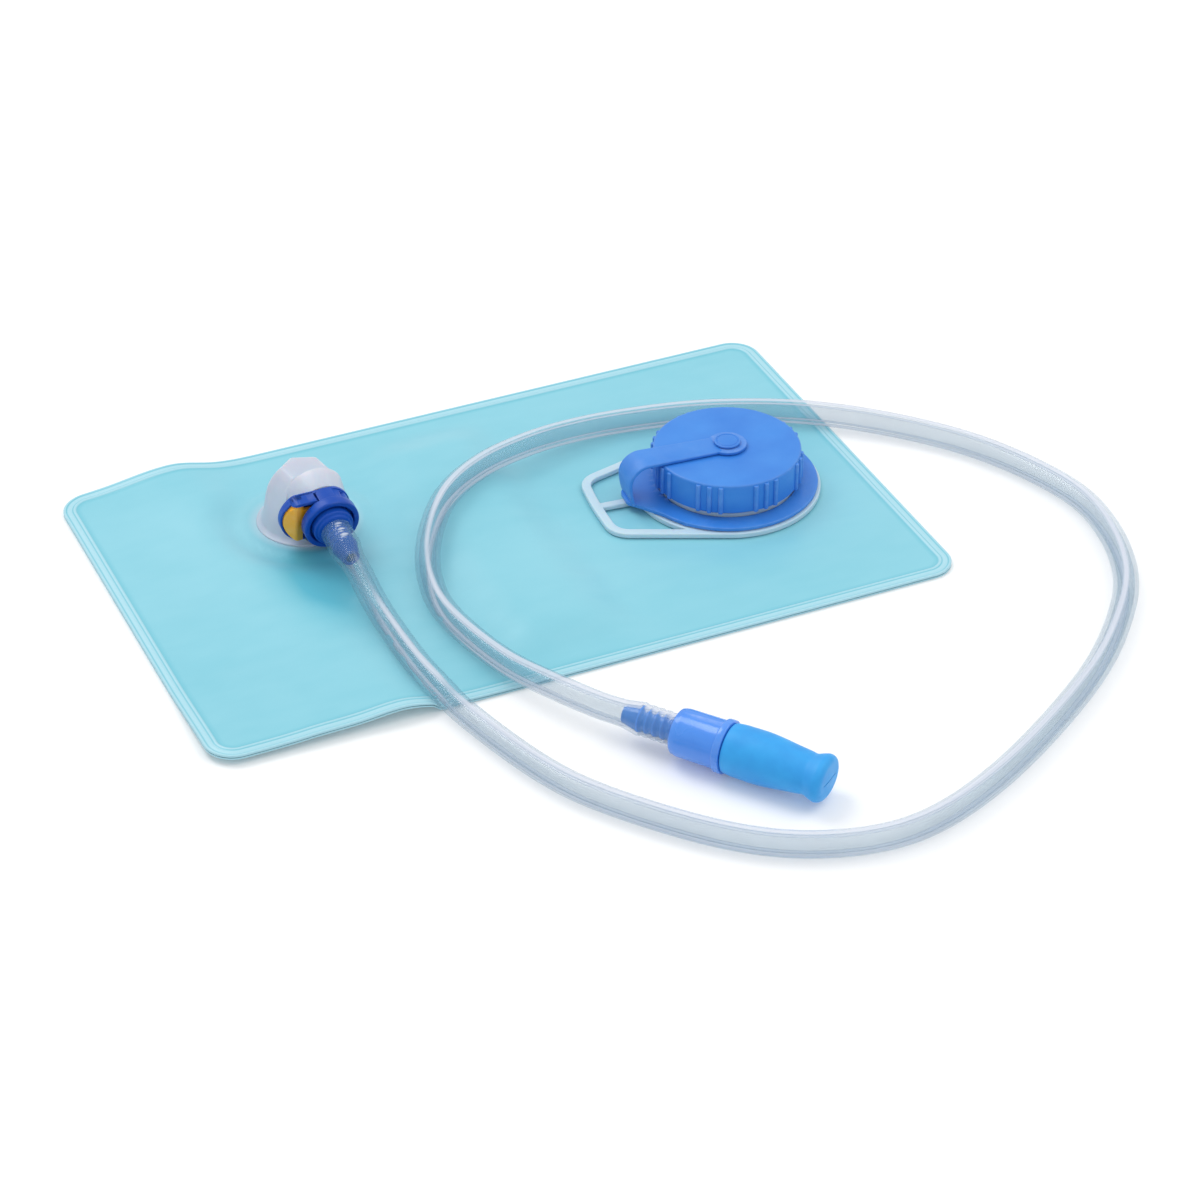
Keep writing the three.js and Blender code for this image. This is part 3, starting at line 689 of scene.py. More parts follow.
def make_hose():
    """Hollow hose: an outer and an inner wall joined at both cut ends."""
    path = hose_path()
    lengths = running_lengths(path)
    plug_tip_at = PLUG_TIP - HOSE_START
    holder_tip_at = lengths[-1] - (HOSE_END - HOLDER_TIP)
    sides, ups = directions(path, None)
    mesh = bmesh.new()
    walls = ([], [])
    kept_centres = []
    for i, centre in enumerate(path):
        near_barb = lengths[i] < plug_tip_at + 12 or lengths[i] > holder_tip_at - 12
        if not near_barb and i % 2:
            continue
        kept_centres.append(centre)
        from_tip = max(plug_tip_at - lengths[i], lengths[i] - holder_tip_at)
        for wall, radius in zip(walls, hose_radii(from_tip)):
            corners = circle(radius, 24)
            wall.append([mesh.verts.new(centre + sides[i] * u + ups[i] * v) for u, v in corners])
    for wall in walls:
        bridge_all(mesh, wall)
    for end in (0, -1):
        bridge(mesh, walls[0][end], walls[1][end])
    hose = deliver(mesh, "hose", PLAIN, "tube", None, ["drink_tube"], 60)
    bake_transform(hose)
    return hose, [centre * MM for centre in kept_centres]


hose, hose_centres = make_hose()

# ------------------------ hose plug, bite valve holder, bite valve


def barbed(profile_start, shoulder, tip):
    """Profile points (radius, x) from the shoulder to the tip of a barb."""
    way = 1 if tip > shoulder else -1
    length = abs(tip - shoulder)
    count = round(length / 0.4)
    points = [(barb_radius(length - length * i / count), shoulder + way * length * i / count)
              for i in range(count + 1)]
    return [*profile_start, *points, (2.6, tip + way * 0.05)]


def make_hose_plug():
    nose, collar = 3.9, 7.7
    body = rounded([
        (2, -3.5, 0.1), (3.4, -3.5), (nose, -3), (nose, -1.4, 0.1), (3, -1.4, 0.1), (3, -0.2, 0.1),
        (nose, -0.2, 0.1), (nose, 2.8, 0.1), (3.1, 2.8, 0.1), (3.1, 5.2, 0.1), (nose, 5.2, 0.1),
        (nose, 8, 0.2), (collar, 8, 0.4), (collar, 12.2, 0.9), (6.6, 12.6, 0.5), (6.3, 13.2, 0.3),
        (5.4, 13.6, 0.2), (4.4, PLUG_SHOULDER, 0.1),
    ], 0.3, loop=False)
    profile = barbed(body, PLUG_SHOULDER + 0.2, PLUG_TIP)
    profile.append((2, PLUG_TIP))
    plug = turned(profile, "X", 72, loop=True)
    return deliver(plug, "hose_plug_body", COUPLING, "coupling", "plug", ["hose_plug"])


def make_valve_holder():
    body = rounded([
        (2, 31, 0.1), (4.8, 31, 0.3), (5.8, 28.4, 0.2), (5.2, 28, 0.1), (5.2, 19.6, 0.3), (9.6, 19.6, 0.45),
        (9.6, 17, 0.45), (8.75, 16.8, 0.3), (8.6, 2.2, 0.3), (8.15, 0, 0.5), (5.2, 0, 0.5), (4.4, -0.1, 0.1),
    ], 0.3, loop=False)
    profile = barbed(body, -0.3, HOLDER_TIP)
    profile.append((2, HOLDER_TIP))
    holder = turned(profile, "X", 72, loop=True)
    return deliver(holder, "valve_holder_body", VALVE, "holder", "bladder", ["bite_valve_holder"])


VALVE_ROUND_TO = 28
VALVE_LIPS = 57.3


def flattened(point):
    """The valve is round at its holder, is nipped before the lips and flattens towards them."""
    along = smooth_step(VALVE_ROUND_TO, VALVE_LIPS, point.x)
    nip = 0.5 * bell(point.x - 48, 2.2) * (1 if point.z < 0 else 0.6)
    thin = (1 - 0.12 * along) * (1 - 0.05 * nip)
    return Vector((point.x, point.y * (1 + 0.04 * along), point.z * thin))


def make_bite_valve():
    profile = rounded([
        (6.1, 19.9, 0.1), (8.8, 19.9, 0.5), (9.2, 23, 1.5), (9.35, 32.5, 2.5), (9, 37.5, 2.5),
        (8.35, 43.5, 2.5), (8.05, 48, 1.5), (7.6, 50.2, 0.9), (8.7, 52.8, 1), (9.25, 54.6, 0.9),
        (8.7, 56.2, 1), (7, 57.1, 1.2), (1, VALVE_LIPS, 0.2), (0, VALVE_LIPS),
    ], 0.4, steps=5, loop=False)
    hollow = [(0, 50), (1.5, 49.6), (3, 42), (6.1, 32)]
    valve = as_object(turned([*hollow, *profile], "X", 96, shape=flattened))
    slit = rounded([(-4.5, -0.2), (4.5, -0.2), (4.5, 0.2), (-4.5, 0.2)], 0.15)
    cut(valve, extruded(slit, 47, 61, "X"))
    return deliver(valve, "bite_valve_mouth", VALVE, "silicone", "mouthpiece", ["bite_valve"], 50)


plug = make_hose_plug()
holder = make_valve_holder()
mouth = make_bite_valve()

# ------------------------ coupling: x outwards, y towards +X, z up

LOBE = {"y": -6.8, "radius": 10.3}  # the rounded side that guards the button
SHELL = 9.9
RING_FRONT = 10.5
RING_RADIUS = 10.7
WINDOW = {"half": 12.6, "top": 8.2}  # the gap in the shell that the button's pad fills
HOOD = {"low": 8.2, "top": 9.5, "y_low": -15.9, "y_high": -4.4, "reach": 5.8}
PAD = {"radius": 9.7, "top": 7.9, "inner": -9.1, "back": 1.8, "edge": 3.2,
       "crest": 6, "crest_y": -12.3, "waist": 4.3}
PLATE = {"half": 5, "end": 5.9}  # the button's latch plate behind the ring
SPRING = {"x": 3.9, "radius": 1.2, "wire": 0.25, "turns": 4, "seat": 9.45}  # the button's return spring


def lobe_outline(extra, sides=64):
    """Outline (y, z) of the coupling seen along its axis: two half circles under a flat top."""
    points = []
    for i in range(sides):
        angle = 2 * math.pi * (i + 0.5) / sides
        centre = LOBE["y"] if math.cos(angle) < 0 else 0
        radius = (LOBE["radius"] if math.cos(angle) < 0 else SHELL) + extra
        points.append((centre + radius * math.cos(angle), min(radius * math.sin(angle), HOOD["top"])))
    return points


def make_coupling():
    """Turned spigot, shell and front ring; then the lobe's rear flange, rim and hood are joined on and
    the openings for the button are cut."""
    profile = [
        (3.3, -13.6), (6, -13.6, 0.3), (6, -3.7), (4.95, -3.7), (4.95, -2.3), (6, -2.3), (6, GAP),
        (SHELL, GAP, 0.3), (SHELL, 6.6, 0.1), (RING_RADIUS, 6.6, 0.3), (RING_RADIUS, RING_FRONT, 0.7),
        (8.6, RING_FRONT, 0.5), (8.6, 7.7, 0.2), (4.2, 7.7, 0.2), (4.2, -5.5), (2.9, -5.5),
        (2.9, -6.3), (4.3, -6.3), (4.3, -12.6), (3.3, -12.6),
    ]
    body = as_object(turned(rounded(profile, 0.15), "X", 96, loop=True))
    core = ring_of(0.5, 6.2, 0.6, 6.9, 0.05, "X")
    window = cut(as_object(block(1.5, 6.3, -20, -1.5, -WINDOW["half"], WINDOW["top"])), core)
    cut(body, joined_mesh(window))
    flange = as_object(extruded(lobe_outline(0.4), GAP, 1.5, "X"))
    cut(flange, disc_of(8, -3, 9, 0.05, "X"))
    rim = as_object(extruded(lobe_outline(0.4), GAP, 3.3, "X"))
    cut(rim, extruded(lobe_outline(-0.35), -1, 5, "X"), block(-1, 6, -8, 20, -20, 20))
    hood = as_object(extruded(lobe_outline(0.4), 0.8, 6.3, "X"))
    combined(hood, "INTERSECT", [visor()])
    united(body, joined_mesh(flange), joined_mesh(rim), joined_mesh(hood))
    room = PLATE["half"] + GAP
    slot = block(2.9, 4.9, -20, PLATE["end"] + 2.8, -room, room)
    spring_pocket = block(2.1, 5.7, PLATE["end"], SPRING["seat"], -1.8, 1.8)
    groove = block(1.5, 6.2, HOOD["y_high"], HOOD["y_high"] + 1, 8.2, 12)
    notch = block(2.2, 5.9, 5.4, 9, 6.6, 12)
    cut(body, slot, spring_pocket, groove, notch)
    softened(body, 0.25)
    deliver(body, "coupling_shell", COUPLING, "coupling", "bladder", ["coupling_body"])


def visor():
    """The block that the hood is cut from, its free edge drawn back towards the lobe's side."""
    outline = []
    for i in range(25):
        y = HOOD["y_low"] + (HOOD["y_high"] - HOOD["y_low"]) * i / 24
        reach = HOOD["reach"] - 0.28 * max(0, -11.5 - y) ** 2
        outline.append((max(1.6, reach), y))
    outline += [(0.5, HOOD["y_high"]), (0.5, HOOD["y_low"])]
    return extruded(outline, HOOD["low"], HOOD["top"])


def make_button():
    """The pad's front rises from its outer edge to a crest for the thumb and falls back to the ring."""
    outer = LOBE["y"] - PAD["radius"]
    outline = rounded([
        (PAD["back"], PAD["inner"]), (PAD["back"], outer), (PAD["edge"], outer),
        (PAD["crest"], PAD["crest_y"], 0.9), (PAD["waist"], PAD["inner"]),
    ], 0.15, 6)
    pad = as_object(extruded(outline, -PAD["radius"], PAD["top"]))
    side = turned([(0, 0), (PAD["radius"], 0), (PAD["radius"], 8), (0, 8)], "X", 120)
    combined(pad, "INTERSECT", [moved(side, (0, LOBE["y"], 0))])
    slide = block(3.2, 4.6, PAD["inner"] - 1, PLATE["end"], -PLATE["half"], PLATE["half"])
    united(pad, slide)
    hole = rounded([(-6.8, -4.3), (3.9, -4.3), (3.9, 4.3), (-6.8, 4.3)], 4.2, 8)
    cut(pad, extruded(hole, 0, 8, "X"))
    softened(pad, 0.4, 3)
    deliver(pad, "release_button_pad", COUPLING, "button", "release_button", ["latch_button"])


def make_spring(name, path, wire, place, body, node):
    coil = swept(path, lambda i: circle(wire, 10))
    return deliver(coil, name, place, "spring", body, [node], 60)


def square_section(inner, outer, low, high):
    return [(inner, low), (outer, low), (outer, high), (inner, high)]


def make_seal(name, sizes, reach, body, node, place=COUPLING, axis="X"):
    seal = turned(rounded(square_section(*sizes), reach, 4), axis, 72, loop=True)
    deliver(seal, name, place, "seal", body, [node], 50)


def make_button_spring():
    x, wire = SPRING["x"], SPRING["wire"]
    first = PLATE["end"] + wire + 0.1
    lead = (SPRING["seat"] - wire - 0.05 - first) / SPRING["turns"]
    turns = helix(SPRING["radius"], lead, 0, SPRING["turns"], 0)
    coil = [Vector((x + p.x, first + p.z, p.y)) for p in turns]
    spring = make_spring("button_return_spring", coil, wire, COUPLING, "bladder", "button_spring")
    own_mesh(spring)


def make_inner_pieces():
    """Springs, seals and the shut-off poppet inside the coupling, and the gasket under the cap's roof."""
    make_button_spring()
    coil = [Vector((-10.2 - p.x, p.y, p.z)) for p in helix(2.9, 0.75, 0, 2, 0.3, "X")]
    make_spring("poppet_return_spring", coil, 0.3, COUPLING, "bladder", "poppet_spring")
    make_seal("port_seal_ring", (5.08, 6.08, -3.5, -2.5), 0.45, "bladder", "port_seal")
    make_seal("plug_seal_ring", (3.1, 3.9, -1.2, -0.4), 0.4, "plug", "plug_seal")
    make_seal("poppet_seal_washer", (1.7, 3.8, -8.6, -8), 0.15, "poppet", "poppet_seal")
    profile = [(0, -9.9), (3.8, -9.9), (3.8, -8.9), (1.4, -8.9, 0.3), (1.4, -4.2), (1, -3.8), (0, -3.8)]
    poppet = turned(rounded(profile, 0.2, loop=False), "X", 64)
    deliver(poppet, "poppet_body", COUPLING, "poppet", "poppet", ["shutoff_poppet"])
    make_seal("cap_gasket_ring", (21.5, 24.5, 16.2, 17.6), 0.2, "cap", "cap_gasket", FILLER, "Z")


make_coupling()
make_button()
make_inner_pieces()

# ------------------------ outlet port


PORT_FLANGE = 23  # radius of the weld flange under the film
PORT_BASE = 18.48  # radius of the step that fills the film's hole
ROUND_TO = 8  # height at which the dome's flats begin


def faceted(point):
    """Round at the base; six flats appear towards the top."""
    if math.hypot(point.x, point.y) < 1e-6 or point.z < ROUND_TO:
        return point
    sector = math.pi / 3
    angle = (math.atan2(point.y, point.x) + math.radians(20)) % sector - sector / 2
    flat = math.cos(sector / 2) / math.cos(angle)
    factor = 1 - smooth_step(ROUND_TO, 20, point.z) * (1 - flat * 1.06)
    return Vector((point.x * factor, point.y * factor, point.z))


def make_port():
    outside = rounded([
        (9.5, 1.5), (PORT_FLANGE, 1.5, 0.2), (PORT_FLANGE, 2, 0.2), (PORT_BASE, 2, 0.2),
        (PORT_BASE, 3.5, 0.25), (17.6, 3.9, 0.5), (16.7, 4.6, 1.1), (15.6, 8, 2), (14.2, 14, 3),
        (12.3, 20, 2.4), (9.7, 24.3, 1.2), (7.5, 26.1, 1), (0, 26.6, 0),
    ], 0.3, 4, loop=False)
    inside = [(0, 20.5), (6, 20.5), (9.5, 17), (9.5, 1.5)]
    port = as_object(turned([*inside, *outside[1:]], "Z", 120, shape=faceted))
    local = PORT.inverted() @ COUPLING
    for profile, operation in (
        ([(0, -9), (11.4, -9), (9.9, -0.1), (0, -0.1)], "UNION"),
        ([(0, -14), (6.3, -14), (6.3, 1), (0, 1)], "DIFFERENCE"),
        ([(0, 0), (14, 0), (14, 3), (0, 3)], "DIFFERENCE"),
    ):
        tool = turned(rounded(profile, 0.1, loop=False), "X", 72)
        tool.transform(local)
        combined(port, operation, [tool])
    softened(port, 0.35, 3, 42)
    deliver(port, "port_dome", PORT, "port", "bladder", ["outlet_port"], 28)


make_port()

# ------------------------ filler: collar with its handle, tether, cap

FLANGE_RADIUS = 35.8
FLANGE_LOW = 1.6
FLANGE_TOP = 3.7
SHOULDER_TOP = 6.5
HANDLE_REACH = 53.8
HANDLE_LEAN = 18.5  # degrees that each side of the handle leans in towards its bar
BAR = 3.6
BAR_MIDDLE = (FLANGE_LOW + FLANGE_TOP) / 2
THREAD = {"lead": 4.5, "ridge": 1.1}


def thread_ridge(radius, start_turn, end_turn, zero_height):
    path = helix(radius, THREAD["lead"], start_turn, end_turn, zero_height)
    return swept(path, lambda i: circle(THREAD["ridge"], 12))


def handle_path():
    """Middle line of the handle's bar: from the flange along one side, across the end and back."""
    reach = HANDLE_REACH - BAR / 2
    circle_radius = FLANGE_RADIUS - BAR / 2
    lean = math.radians(HANDLE_LEAN)
    normal = Vector((-math.sin(lean), math.cos(lean)))
    touch = normal * circle_radius
    end_y = (circle_radius + reach * normal.x) / normal.y
    bow = 0.9  # the bar's middle stands out this much past its ends
    ends = bow - reach
    corners = [(touch.x, -touch.y), (ends, -end_y), (-reach, 0, 12), (ends, end_y), (touch.x, touch.y)]
    line = rounded(corners, 6, 10, loop=False)
    start, end = Vector(line[0]), Vector(line[-1])
    along_sides = [start.lerp(Vector(line[1]), t / 10) for t in range(10)]
    back_sides = [Vector(line[-2]).lerp(end, t / 10) for t in range(1, 11)]
    return [Vector((p.x, p.y, BAR_MIDDLE)) for p in [*along_sides, *line[1:-1], *back_sides]]


def make_collar():
    flange = rounded([
        (22, FLANGE_LOW), (FLANGE_RADIUS, FLANGE_LOW), (FLANGE_RADIUS, FLANGE_TOP), (26.3, FLANGE_TOP, 0.4),
        (26.3, SHOULDER_TOP, 0.3), (24.3, SHOULDER_TOP, 0.3), (24.3, 15.9, 0.5), (22, 15.9, 0.5),
    ], 0.45, 4)
    collar = as_object(turned(flange, "Z", 144, loop=True))
    half, half_height = BAR / 2, (FLANGE_TOP - FLANGE_LOW) / 2
    bar_section = rounded(square_section(-half, half, -half_height, half_height), 0.55, 4)
    bar = swept(handle_path(), lambda i: bar_section, Vector((0, 0, 1)))
    strut_section = [(0.95 * u, 0.9 * v) for u, v in bar_section]
    strut_path = [Vector((x, 0, BAR_MIDDLE)) for x in range(-52, -33)]
    strut = swept(strut_path, lambda i: strut_section, Vector((0, 0, 1)))
    united(collar, bar, strut, thread_ridge(24.2, 0, 1.1, 9.4))
    cut(collar, disc_of(22, 0, 20, 0.1, segments=144))
    deliver(collar, "collar_and_handle", FILLER, "collar", "bladder", ["fill_collar"], 40)


RING_Z = 4.0
RING_TOP = 5.5
STRAP_TOP = 21.2
STRAP_THICK = 1.2
BEND = {"x": -33, "z": 13.1, "radius": 7.5}
FOOT_OFFSET = 1.2  # the strap's foot leans in by this much


def tether_lug():
    """Lug on the ring's handle side: sides flow into the ring and its end is round."""
    half, end = 6.4, -41.2
    side = [(-24, 26), (-31, 15.5), (-36, 9.5), (-38.5, half), (end, 4)]
    outline = [*side, *[(x, -y) for x, y in reversed(side)]]
    return extruded(rounded(outline, 3, 5), RING_Z, RING_TOP)


def strap_path():
    """Middle line of the strap: out of the eye, over the cap's edge and down to the lug."""
    top = STRAP_TOP - STRAP_THICK / 2
    bend_x, bend_z, radius = BEND["x"], BEND["z"], BEND["radius"]
    points = [Vector((x, 0, top)) for x in range(-4, bend_x, -1)]
    for i in range(19):
        angle = math.pi / 2 + math.pi / 2 * i / 18
        points.append(Vector((bend_x + radius * math.cos(angle), 0, bend_z + radius * math.sin(angle))))
    drop = RING_TOP - 0.3 - bend_z
    for i in range(1, 13):
        t = i / 12
        points.append(Vector((bend_x - radius + FOOT_OFFSET * t * t, 0, bend_z + drop * t)))
    return points


def make_tether():
    """Ring, strap and eye, one moulding; the strap widens from the eye to its foot."""
    path = strap_path()
    count = len(path)

    def section(i):
        t = i / (count - 1)
        half = 5.2 + 1.5 * t
        half_thick = STRAP_THICK / 2 * (1 + 0.15 * math.sin(math.pi * t))
        return rounded(square_section(-half_thick, half_thick, -half, half), 0.45, 3)

    tether = as_object(ring_of(26.8, 34.7, RING_Z, RING_TOP, 0.5, segments=144))
    strap = swept(path, section, Vector((0, 1, 0)))
    lug = cut(as_object(tether_lug()), disc_of(27.5, 0, 10, 0.05))
    united(tether, joined_mesh(softened(lug, 0.4, 3)), strap)
    united(tether, disc_of(7.4, STRAP_TOP - STRAP_THICK, STRAP_TOP, 0.35))
    cut(tether, disc_of(3.4, 15, 24, 0.02))
    replaced = ["tether_ring", "tether_strap", "tether_eye"]
    made = deliver(tether, "cap_tether", FILLER, "cap", None, replaced)
    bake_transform(made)


CAP_TOP = 19.7
CAP_LOW = 7.7
CAP_RADIUS = 28
RIB = {"radius": 0.95, "pitch": 8.8, "first": 11}  # angles in degrees


def grip_ribs():
    """Eight groups of three upright ribs round the cap."""
    ribs = bmesh.new()
    for group in range(8):
        for i in (-1, 0, 1):
            rib = disc_of(RIB["radius"], CAP_LOW - 0.1, CAP_TOP - 0.75, 0.6, segments=16)
            moved(rib, (CAP_RADIUS + 0.05, 0, 0))
            turn = math.radians(RIB["first"] + 45 * group + i * RIB["pitch"])
            rib.transform(Matrix.Rotation(turn, 4, "Z"))
            data = bpy.data.meshes.new("rib")
            rib.to_mesh(data)
            rib.free()
            ribs.from_mesh(data)
    return ribs


def make_cap():
    shell_profile = rounded([
        (0, 16.4), (5.5, 16.4, 0.3), (5.5, 17.9, 0.3), (26.2, 17.9, 0.4), (26.2, CAP_LOW, 0.3),
        (CAP_RADIUS, CAP_LOW, 0.35), (CAP_RADIUS, CAP_TOP, 0.9), (20, CAP_TOP), (14, CAP_TOP), (8, CAP_TOP),
        (3.3, CAP_TOP, 0.2), (3.3, 17.4, 0.1), (0, 17.4, 0),
    ], 0.3, 4, loop=False)
    cap = as_object(turned(shell_profile, "Z", 192))
    united(cap, grip_ribs(), thread_ridge(26.1, -0.28, 0.8, 11.65))
    deliver(cap, "cap_body", FILLER, "cap", "cap", ["screw_cap"], 40)


def make_pin():
    """Pivot pin with a shallow groove round its flat head."""
    head = STRAP_TOP + GAP
    profile = rounded([
        (0, 17.7), (3, 17.7), (3, head, 0.1), (5, head, 0.2), (5, head + 0.75, 0.3), (4.35, head + 0.8, 0.15),
        (4.2, head + 0.55, 0.1), (3.9, head + 0.55, 0.1), (3.7, head + 0.8, 0.15), (0, head + 0.85, 0),
    ], 0.2, 3, loop=False)
    pin = turned(profile, "Z", 72)
    deliver(pin, "cap_pivot", FILLER, "cap", "cap", ["cap_pivot_pin"])


make_collar()
make_tether()
make_cap()
make_pin()

# ------------------------ films


def edge_distance(x, y):
    """Distance in from the bag's outline, a rectangle with round corners."""
    dx = abs(x) - (BAG_HALF_LENGTH - BAG_CORNER)
    dy = abs(y) - (BAG_HALF_WIDTH - BAG_CORNER)
    outside = math.hypot(max(dx, 0), max(dy, 0))
    return BAG_CORNER - outside - min(max(dx, dy), 0)


def lower_rise(x, y):
    """How far the lower film is off the floor: a fold across the bag, a lifted corner, shallow waves."""
    crest = RIDGE["x"] - RIDGE["slant"] * y / BAG_HALF_WIDTH
    fold = RIDGE["height"] * bell(x - crest, RIDGE["outlet_side"] if x < crest else RIDGE["filler_side"])
    corner = CORNER_LIFT * smooth_step(85, 110, -x) * smooth_step(35, 85, -y)
    calm = smooth_step(4, 30, edge_distance(x, y))
    waves = 0.35 * (1 + noise.noise(Vector((x / 38, y / 26, 3.7)))) * calm
    return fold + corner + waves * 0.5


def hump_rise(x, y):
    """The water left between the films."""
    far_x = abs(x - HUMP["x"]) - HUMP["x_half"]
    far_y = abs(y) - HUMP["y_half"]
    share = smooth_step(0, HUMP["slope"], -far_x) * smooth_step(0, HUMP["slope"], -far_y)
    return HUMP["height"] * share


def weld_profile(distance):
    """The pressed border: a flash at the edge, a low line and a bead along the inner side."""
    lines = ((0.4, 0.6, 0.5), (0.3, 2.4, 0.6), (0.5, 4.1, 0.6))
    return sum(height * bell(distance - place, width) for height, place, width in lines)


PORT_CENTRE = PORT.translation / MM
FILLER_CENTRE = FILLER.translation / MM
hose_tree = KDTree(len(hose_centres))
for index, centre in enumerate(hose_centres):
    hose_tree.insert(Vector((centre.x, centre.y, 0)) / MM, index)
hose_tree.balance()


def under_hose(x, y):
    """Highest the film may stand below the hose."""
    _, index, distance = hose_tree.find(Vector((x, y, 0)))
    radius = TUBE_OUTER + 0.15
    low = hose_centres[index].z / MM - radius
    if distance < radius:
        return low + radius - math.sqrt(radius ** 2 - distance ** 2)
    return low + radius + (distance - radius) * 1.2


def from_port(x, y):
    return math.hypot(x - PORT_CENTRE.x, y - PORT_CENTRE.y)


def flatness(x, y):
    """0 where the film is welded to a rigid flange, 1 away from it."""
    near_port = from_port(x, y) - PORT_FLANGE - 1
    to_filler = Vector((x, y)) - FILLER_CENTRE.xy
    near_filler = to_filler.length - FLANGE_RADIUS - 1.2
    handle = max(abs(to_filler.y) - 24, -to_filler.x - HANDLE_REACH - 0.2, to_filler.x)
    return smooth_step(0, 16, min(near_port, near_filler, handle))


def over_weld_flange(x, y):
    """The film lies over the port's weld flange, which leaves faint rings in it."""
    distance = from_port(x, y)
    lift = 1.35 * (1 - smooth_step(23.4, 27, distance))
    return lift + 0.2 * bell(distance - 22.9, 0.7) + 0.15 * bell(distance - 20.6, 0.5)


def calmed_rise(x, y):
    return lower_rise(x, y) * (0.15 + 0.85 * flatness(x, y))


def upper_height(x, y):
    """Top of the upper film."""
    free, inside = flatness(x, y), edge_distance(x, y)
    base = FILM + GAP + calmed_rise(x, y) + hump_rise(x, y) * free
    broad = 0.45 * noise.noise(Vector((x / 30, y / 22, 9.1)))
    small = 0.16 * noise.noise(Vector((x / 9, y / 8, 1.3)))
    base += (broad + small + 0.25) * smooth_step(5, 26, inside) * free
    top = base + FILM + weld_profile(inside) + over_weld_flange(x, y)
    return min(top, max(FILM + GAP + 0.4, under_hose(x, y)))


def lower_height(x, y):
    """Underside of the lower film; it stays clear of the upper film."""
    return max(0, min(calmed_rise(x, y), upper_height(x, y) - 2 * FILM - GAP))


def stations(half, border):
    """Coordinates across the inside of the bag, close together near its corners."""
    fine = [half - border * (1 - i / 6) for i in range(7)]
    count = round(2 * (half - border) / 2.4)
    coarse = [-(half - border) + 2 * (half - border) * i / count for i in range(1, count)]
    return [*[-value for value in reversed(fine)], *coarse, *fine]


BORDER = 6  # width of the border strip that carries the weld


def film_grid():
    """Plan of the film: a grid inside, whose corners are drawn round, and rings of points over the
    welded border. Returns the points, the faces and the outermost ring."""
    corner = BAG_CORNER - BORDER
    half_x, half_y = BAG_HALF_LENGTH - BORDER, BAG_HALF_WIDTH - BORDER
    xs, ys = stations(half_x, corner), stations(half_y, corner)
    nx, ny = len(xs), len(ys)

    def plan(x, y):
        u = (abs(x) - (half_x - corner)) / corner
        v = (abs(y) - (half_y - corner)) / corner
        if u <= 0 or v <= 0:
            return Vector((x, y))
        px = half_x - corner + corner * u * math.sqrt(1 - v * v / 2)
        py = half_y - corner + corner * v * math.sqrt(1 - u * u / 2)
        return Vector((math.copysign(px, x), math.copysign(py, y)))

    points = [plan(x, y) for y in ys for x in xs]
    faces = [(j * nx + i, j * nx + i + 1, (j + 1) * nx + i + 1, (j + 1) * nx + i)
             for j in range(ny - 1) for i in range(nx - 1)]
    edge = [*range(nx), *[j * nx + nx - 1 for j in range(1, ny)],
            *[(ny - 1) * nx + i for i in range(nx - 2, -1, -1)], *[j * nx for j in range(ny - 2, 0, -1)]]

    def outward(point):
        core = Vector((min(max(point.x, corner - half_x), half_x - corner),
                       min(max(point.y, corner - half_y), half_y - corner)))
        return (point - core).normalized()

    steps = 15
    ring = edge
    for k in range(1, steps + 1):
        first = len(points)
        points += [points[i] + outward(points[i]) * BORDER * k / steps for i in edge]
        new_ring = list(range(first, first + len(edge)))
        for i in range(len(edge)):
            j = (i + 1) % len(edge)
            faces.append((ring[i], new_ring[i], new_ring[j], ring[j]))
        ring = new_ring
    return points, faces, ring


def make_film(name, node, height_low, height_high, holes):
    points, faces, rim = film_grid()
    mesh = bmesh.new()
    layers = []
    for height in (height_low, height_high):
        layers.append([mesh.verts.new((p.x, p.y, height(p.x, p.y))) for p in points])
    for face in faces:
        mesh.faces.new([layers[1][i] for i in face])
        mesh.faces.new([layers[0][i] for i in reversed(face)])
    for i in range(len(rim)):
        j = (i + 1) % len(rim)
        mesh.faces.new((layers[0][rim[i]], layers[0][rim[j]], layers[1][rim[j]], layers[1][rim[i]]))
    film = as_object(mesh)
    cut(film, *holes)
    made = deliver(film, name, PLAIN, "film", "bladder", [node], 60)


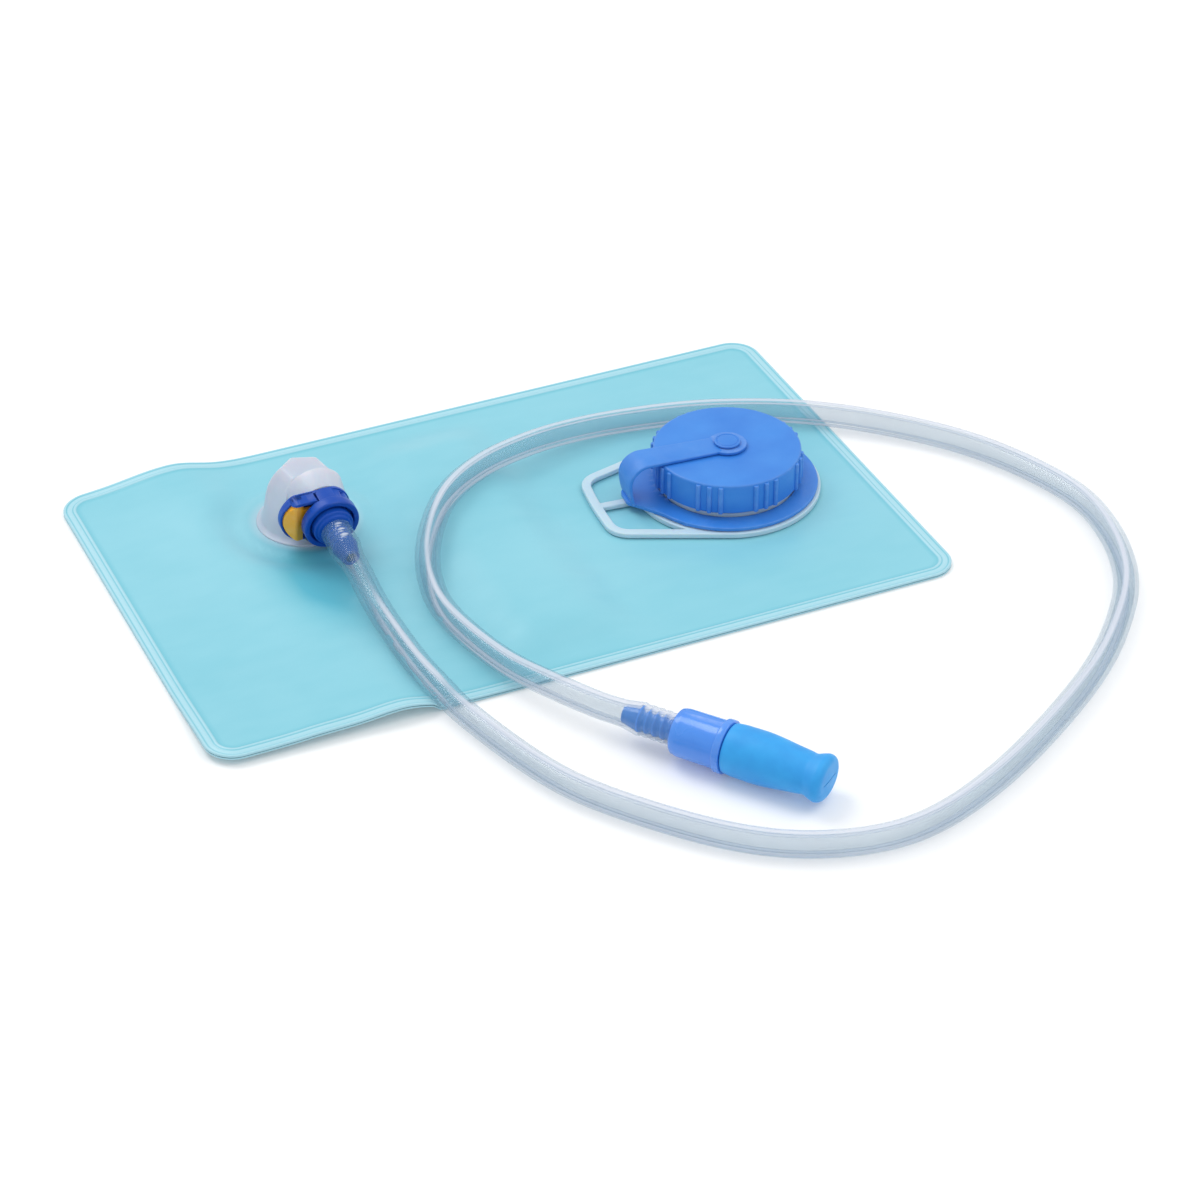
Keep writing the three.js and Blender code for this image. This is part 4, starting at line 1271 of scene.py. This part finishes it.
def make_films():
    neck_hole = moved(disc_of(23, -1, 9, 0.1), (FILLER_CENTRE.x, FILLER_CENTRE.y, 0))
    port_hole = disc_of(PORT_BASE + 0.04, -1, 9, 0.1, segments=160)
    moved(port_hole, (PORT_CENTRE.x, PORT_CENTRE.y, 0))
    holes = [neck_hole, port_hole]
    make_film("bag_upper_film", "upper_film", lambda x, y: upper_height(x, y) - FILM, upper_height, holes)
    make_film("bag_lower_film", "lower_film", lower_height, lambda x, y: lower_height(x, y) + FILM, [])


make_films()

# ------------------------ floor, light


def floor_material():
    material, tree, shader = make_material("floor_white", 0.6, Emission_Strength=0.08)
    shade = add_ramp(tree, add_noise(tree, 3, 4), [(0.3, 0.90), (0.7, 0.93)])
    tree.links.new(shade, shader.inputs["Base Color"])
    add_bump(tree, shader, [(300, 1e-5)])
    return material


def make_floor():
    floor = as_object(block(-4, 4, -4, 4, -0.02, -0.0002), "floor")
    floor.data.materials.append(floor_material())


def add_area_light(name, location, size, power):
    data = bpy.data.lights.new(name, "AREA")
    data.shape = "DISK"
    data.size = size
    data.energy = power
    light = bpy.data.objects.new(name, data)
    light.location = location
    light.rotation_euler = (-Vector(location)).to_track_quat("-Z", "Y").to_euler()
    bpy.context.scene.collection.objects.link(light)


def make_light():
    world = bpy.data.worlds.new("studio")
    bpy.context.scene.world = world
    world.use_nodes = True
    tree = world.node_tree
    way = add_node(tree, "ShaderNodeTexCoord").outputs["Generated"]
    height = add_node(tree, "ShaderNodeSeparateXYZ", Vector=way).outputs["Z"]
    sky = add_ramp(tree, height, [(0.0, (0.62, 0.64, 0.70)), (0.35, (0.95, 0.97, 1.0)), (0.9, 1)])
    background = tree.nodes["Background"]
    background.inputs["Strength"].default_value = 0.84
    tree.links.new(sky, background.inputs["Color"])
    add_area_light("key", (-0.5, 0.9, 1.6), 1.1, 11)
    add_area_light("fill", (0.9, -0.5, 1.4), 1.3, 5)
    bpy.context.scene.view_settings.view_transform = "Standard"


make_floor()
make_light()
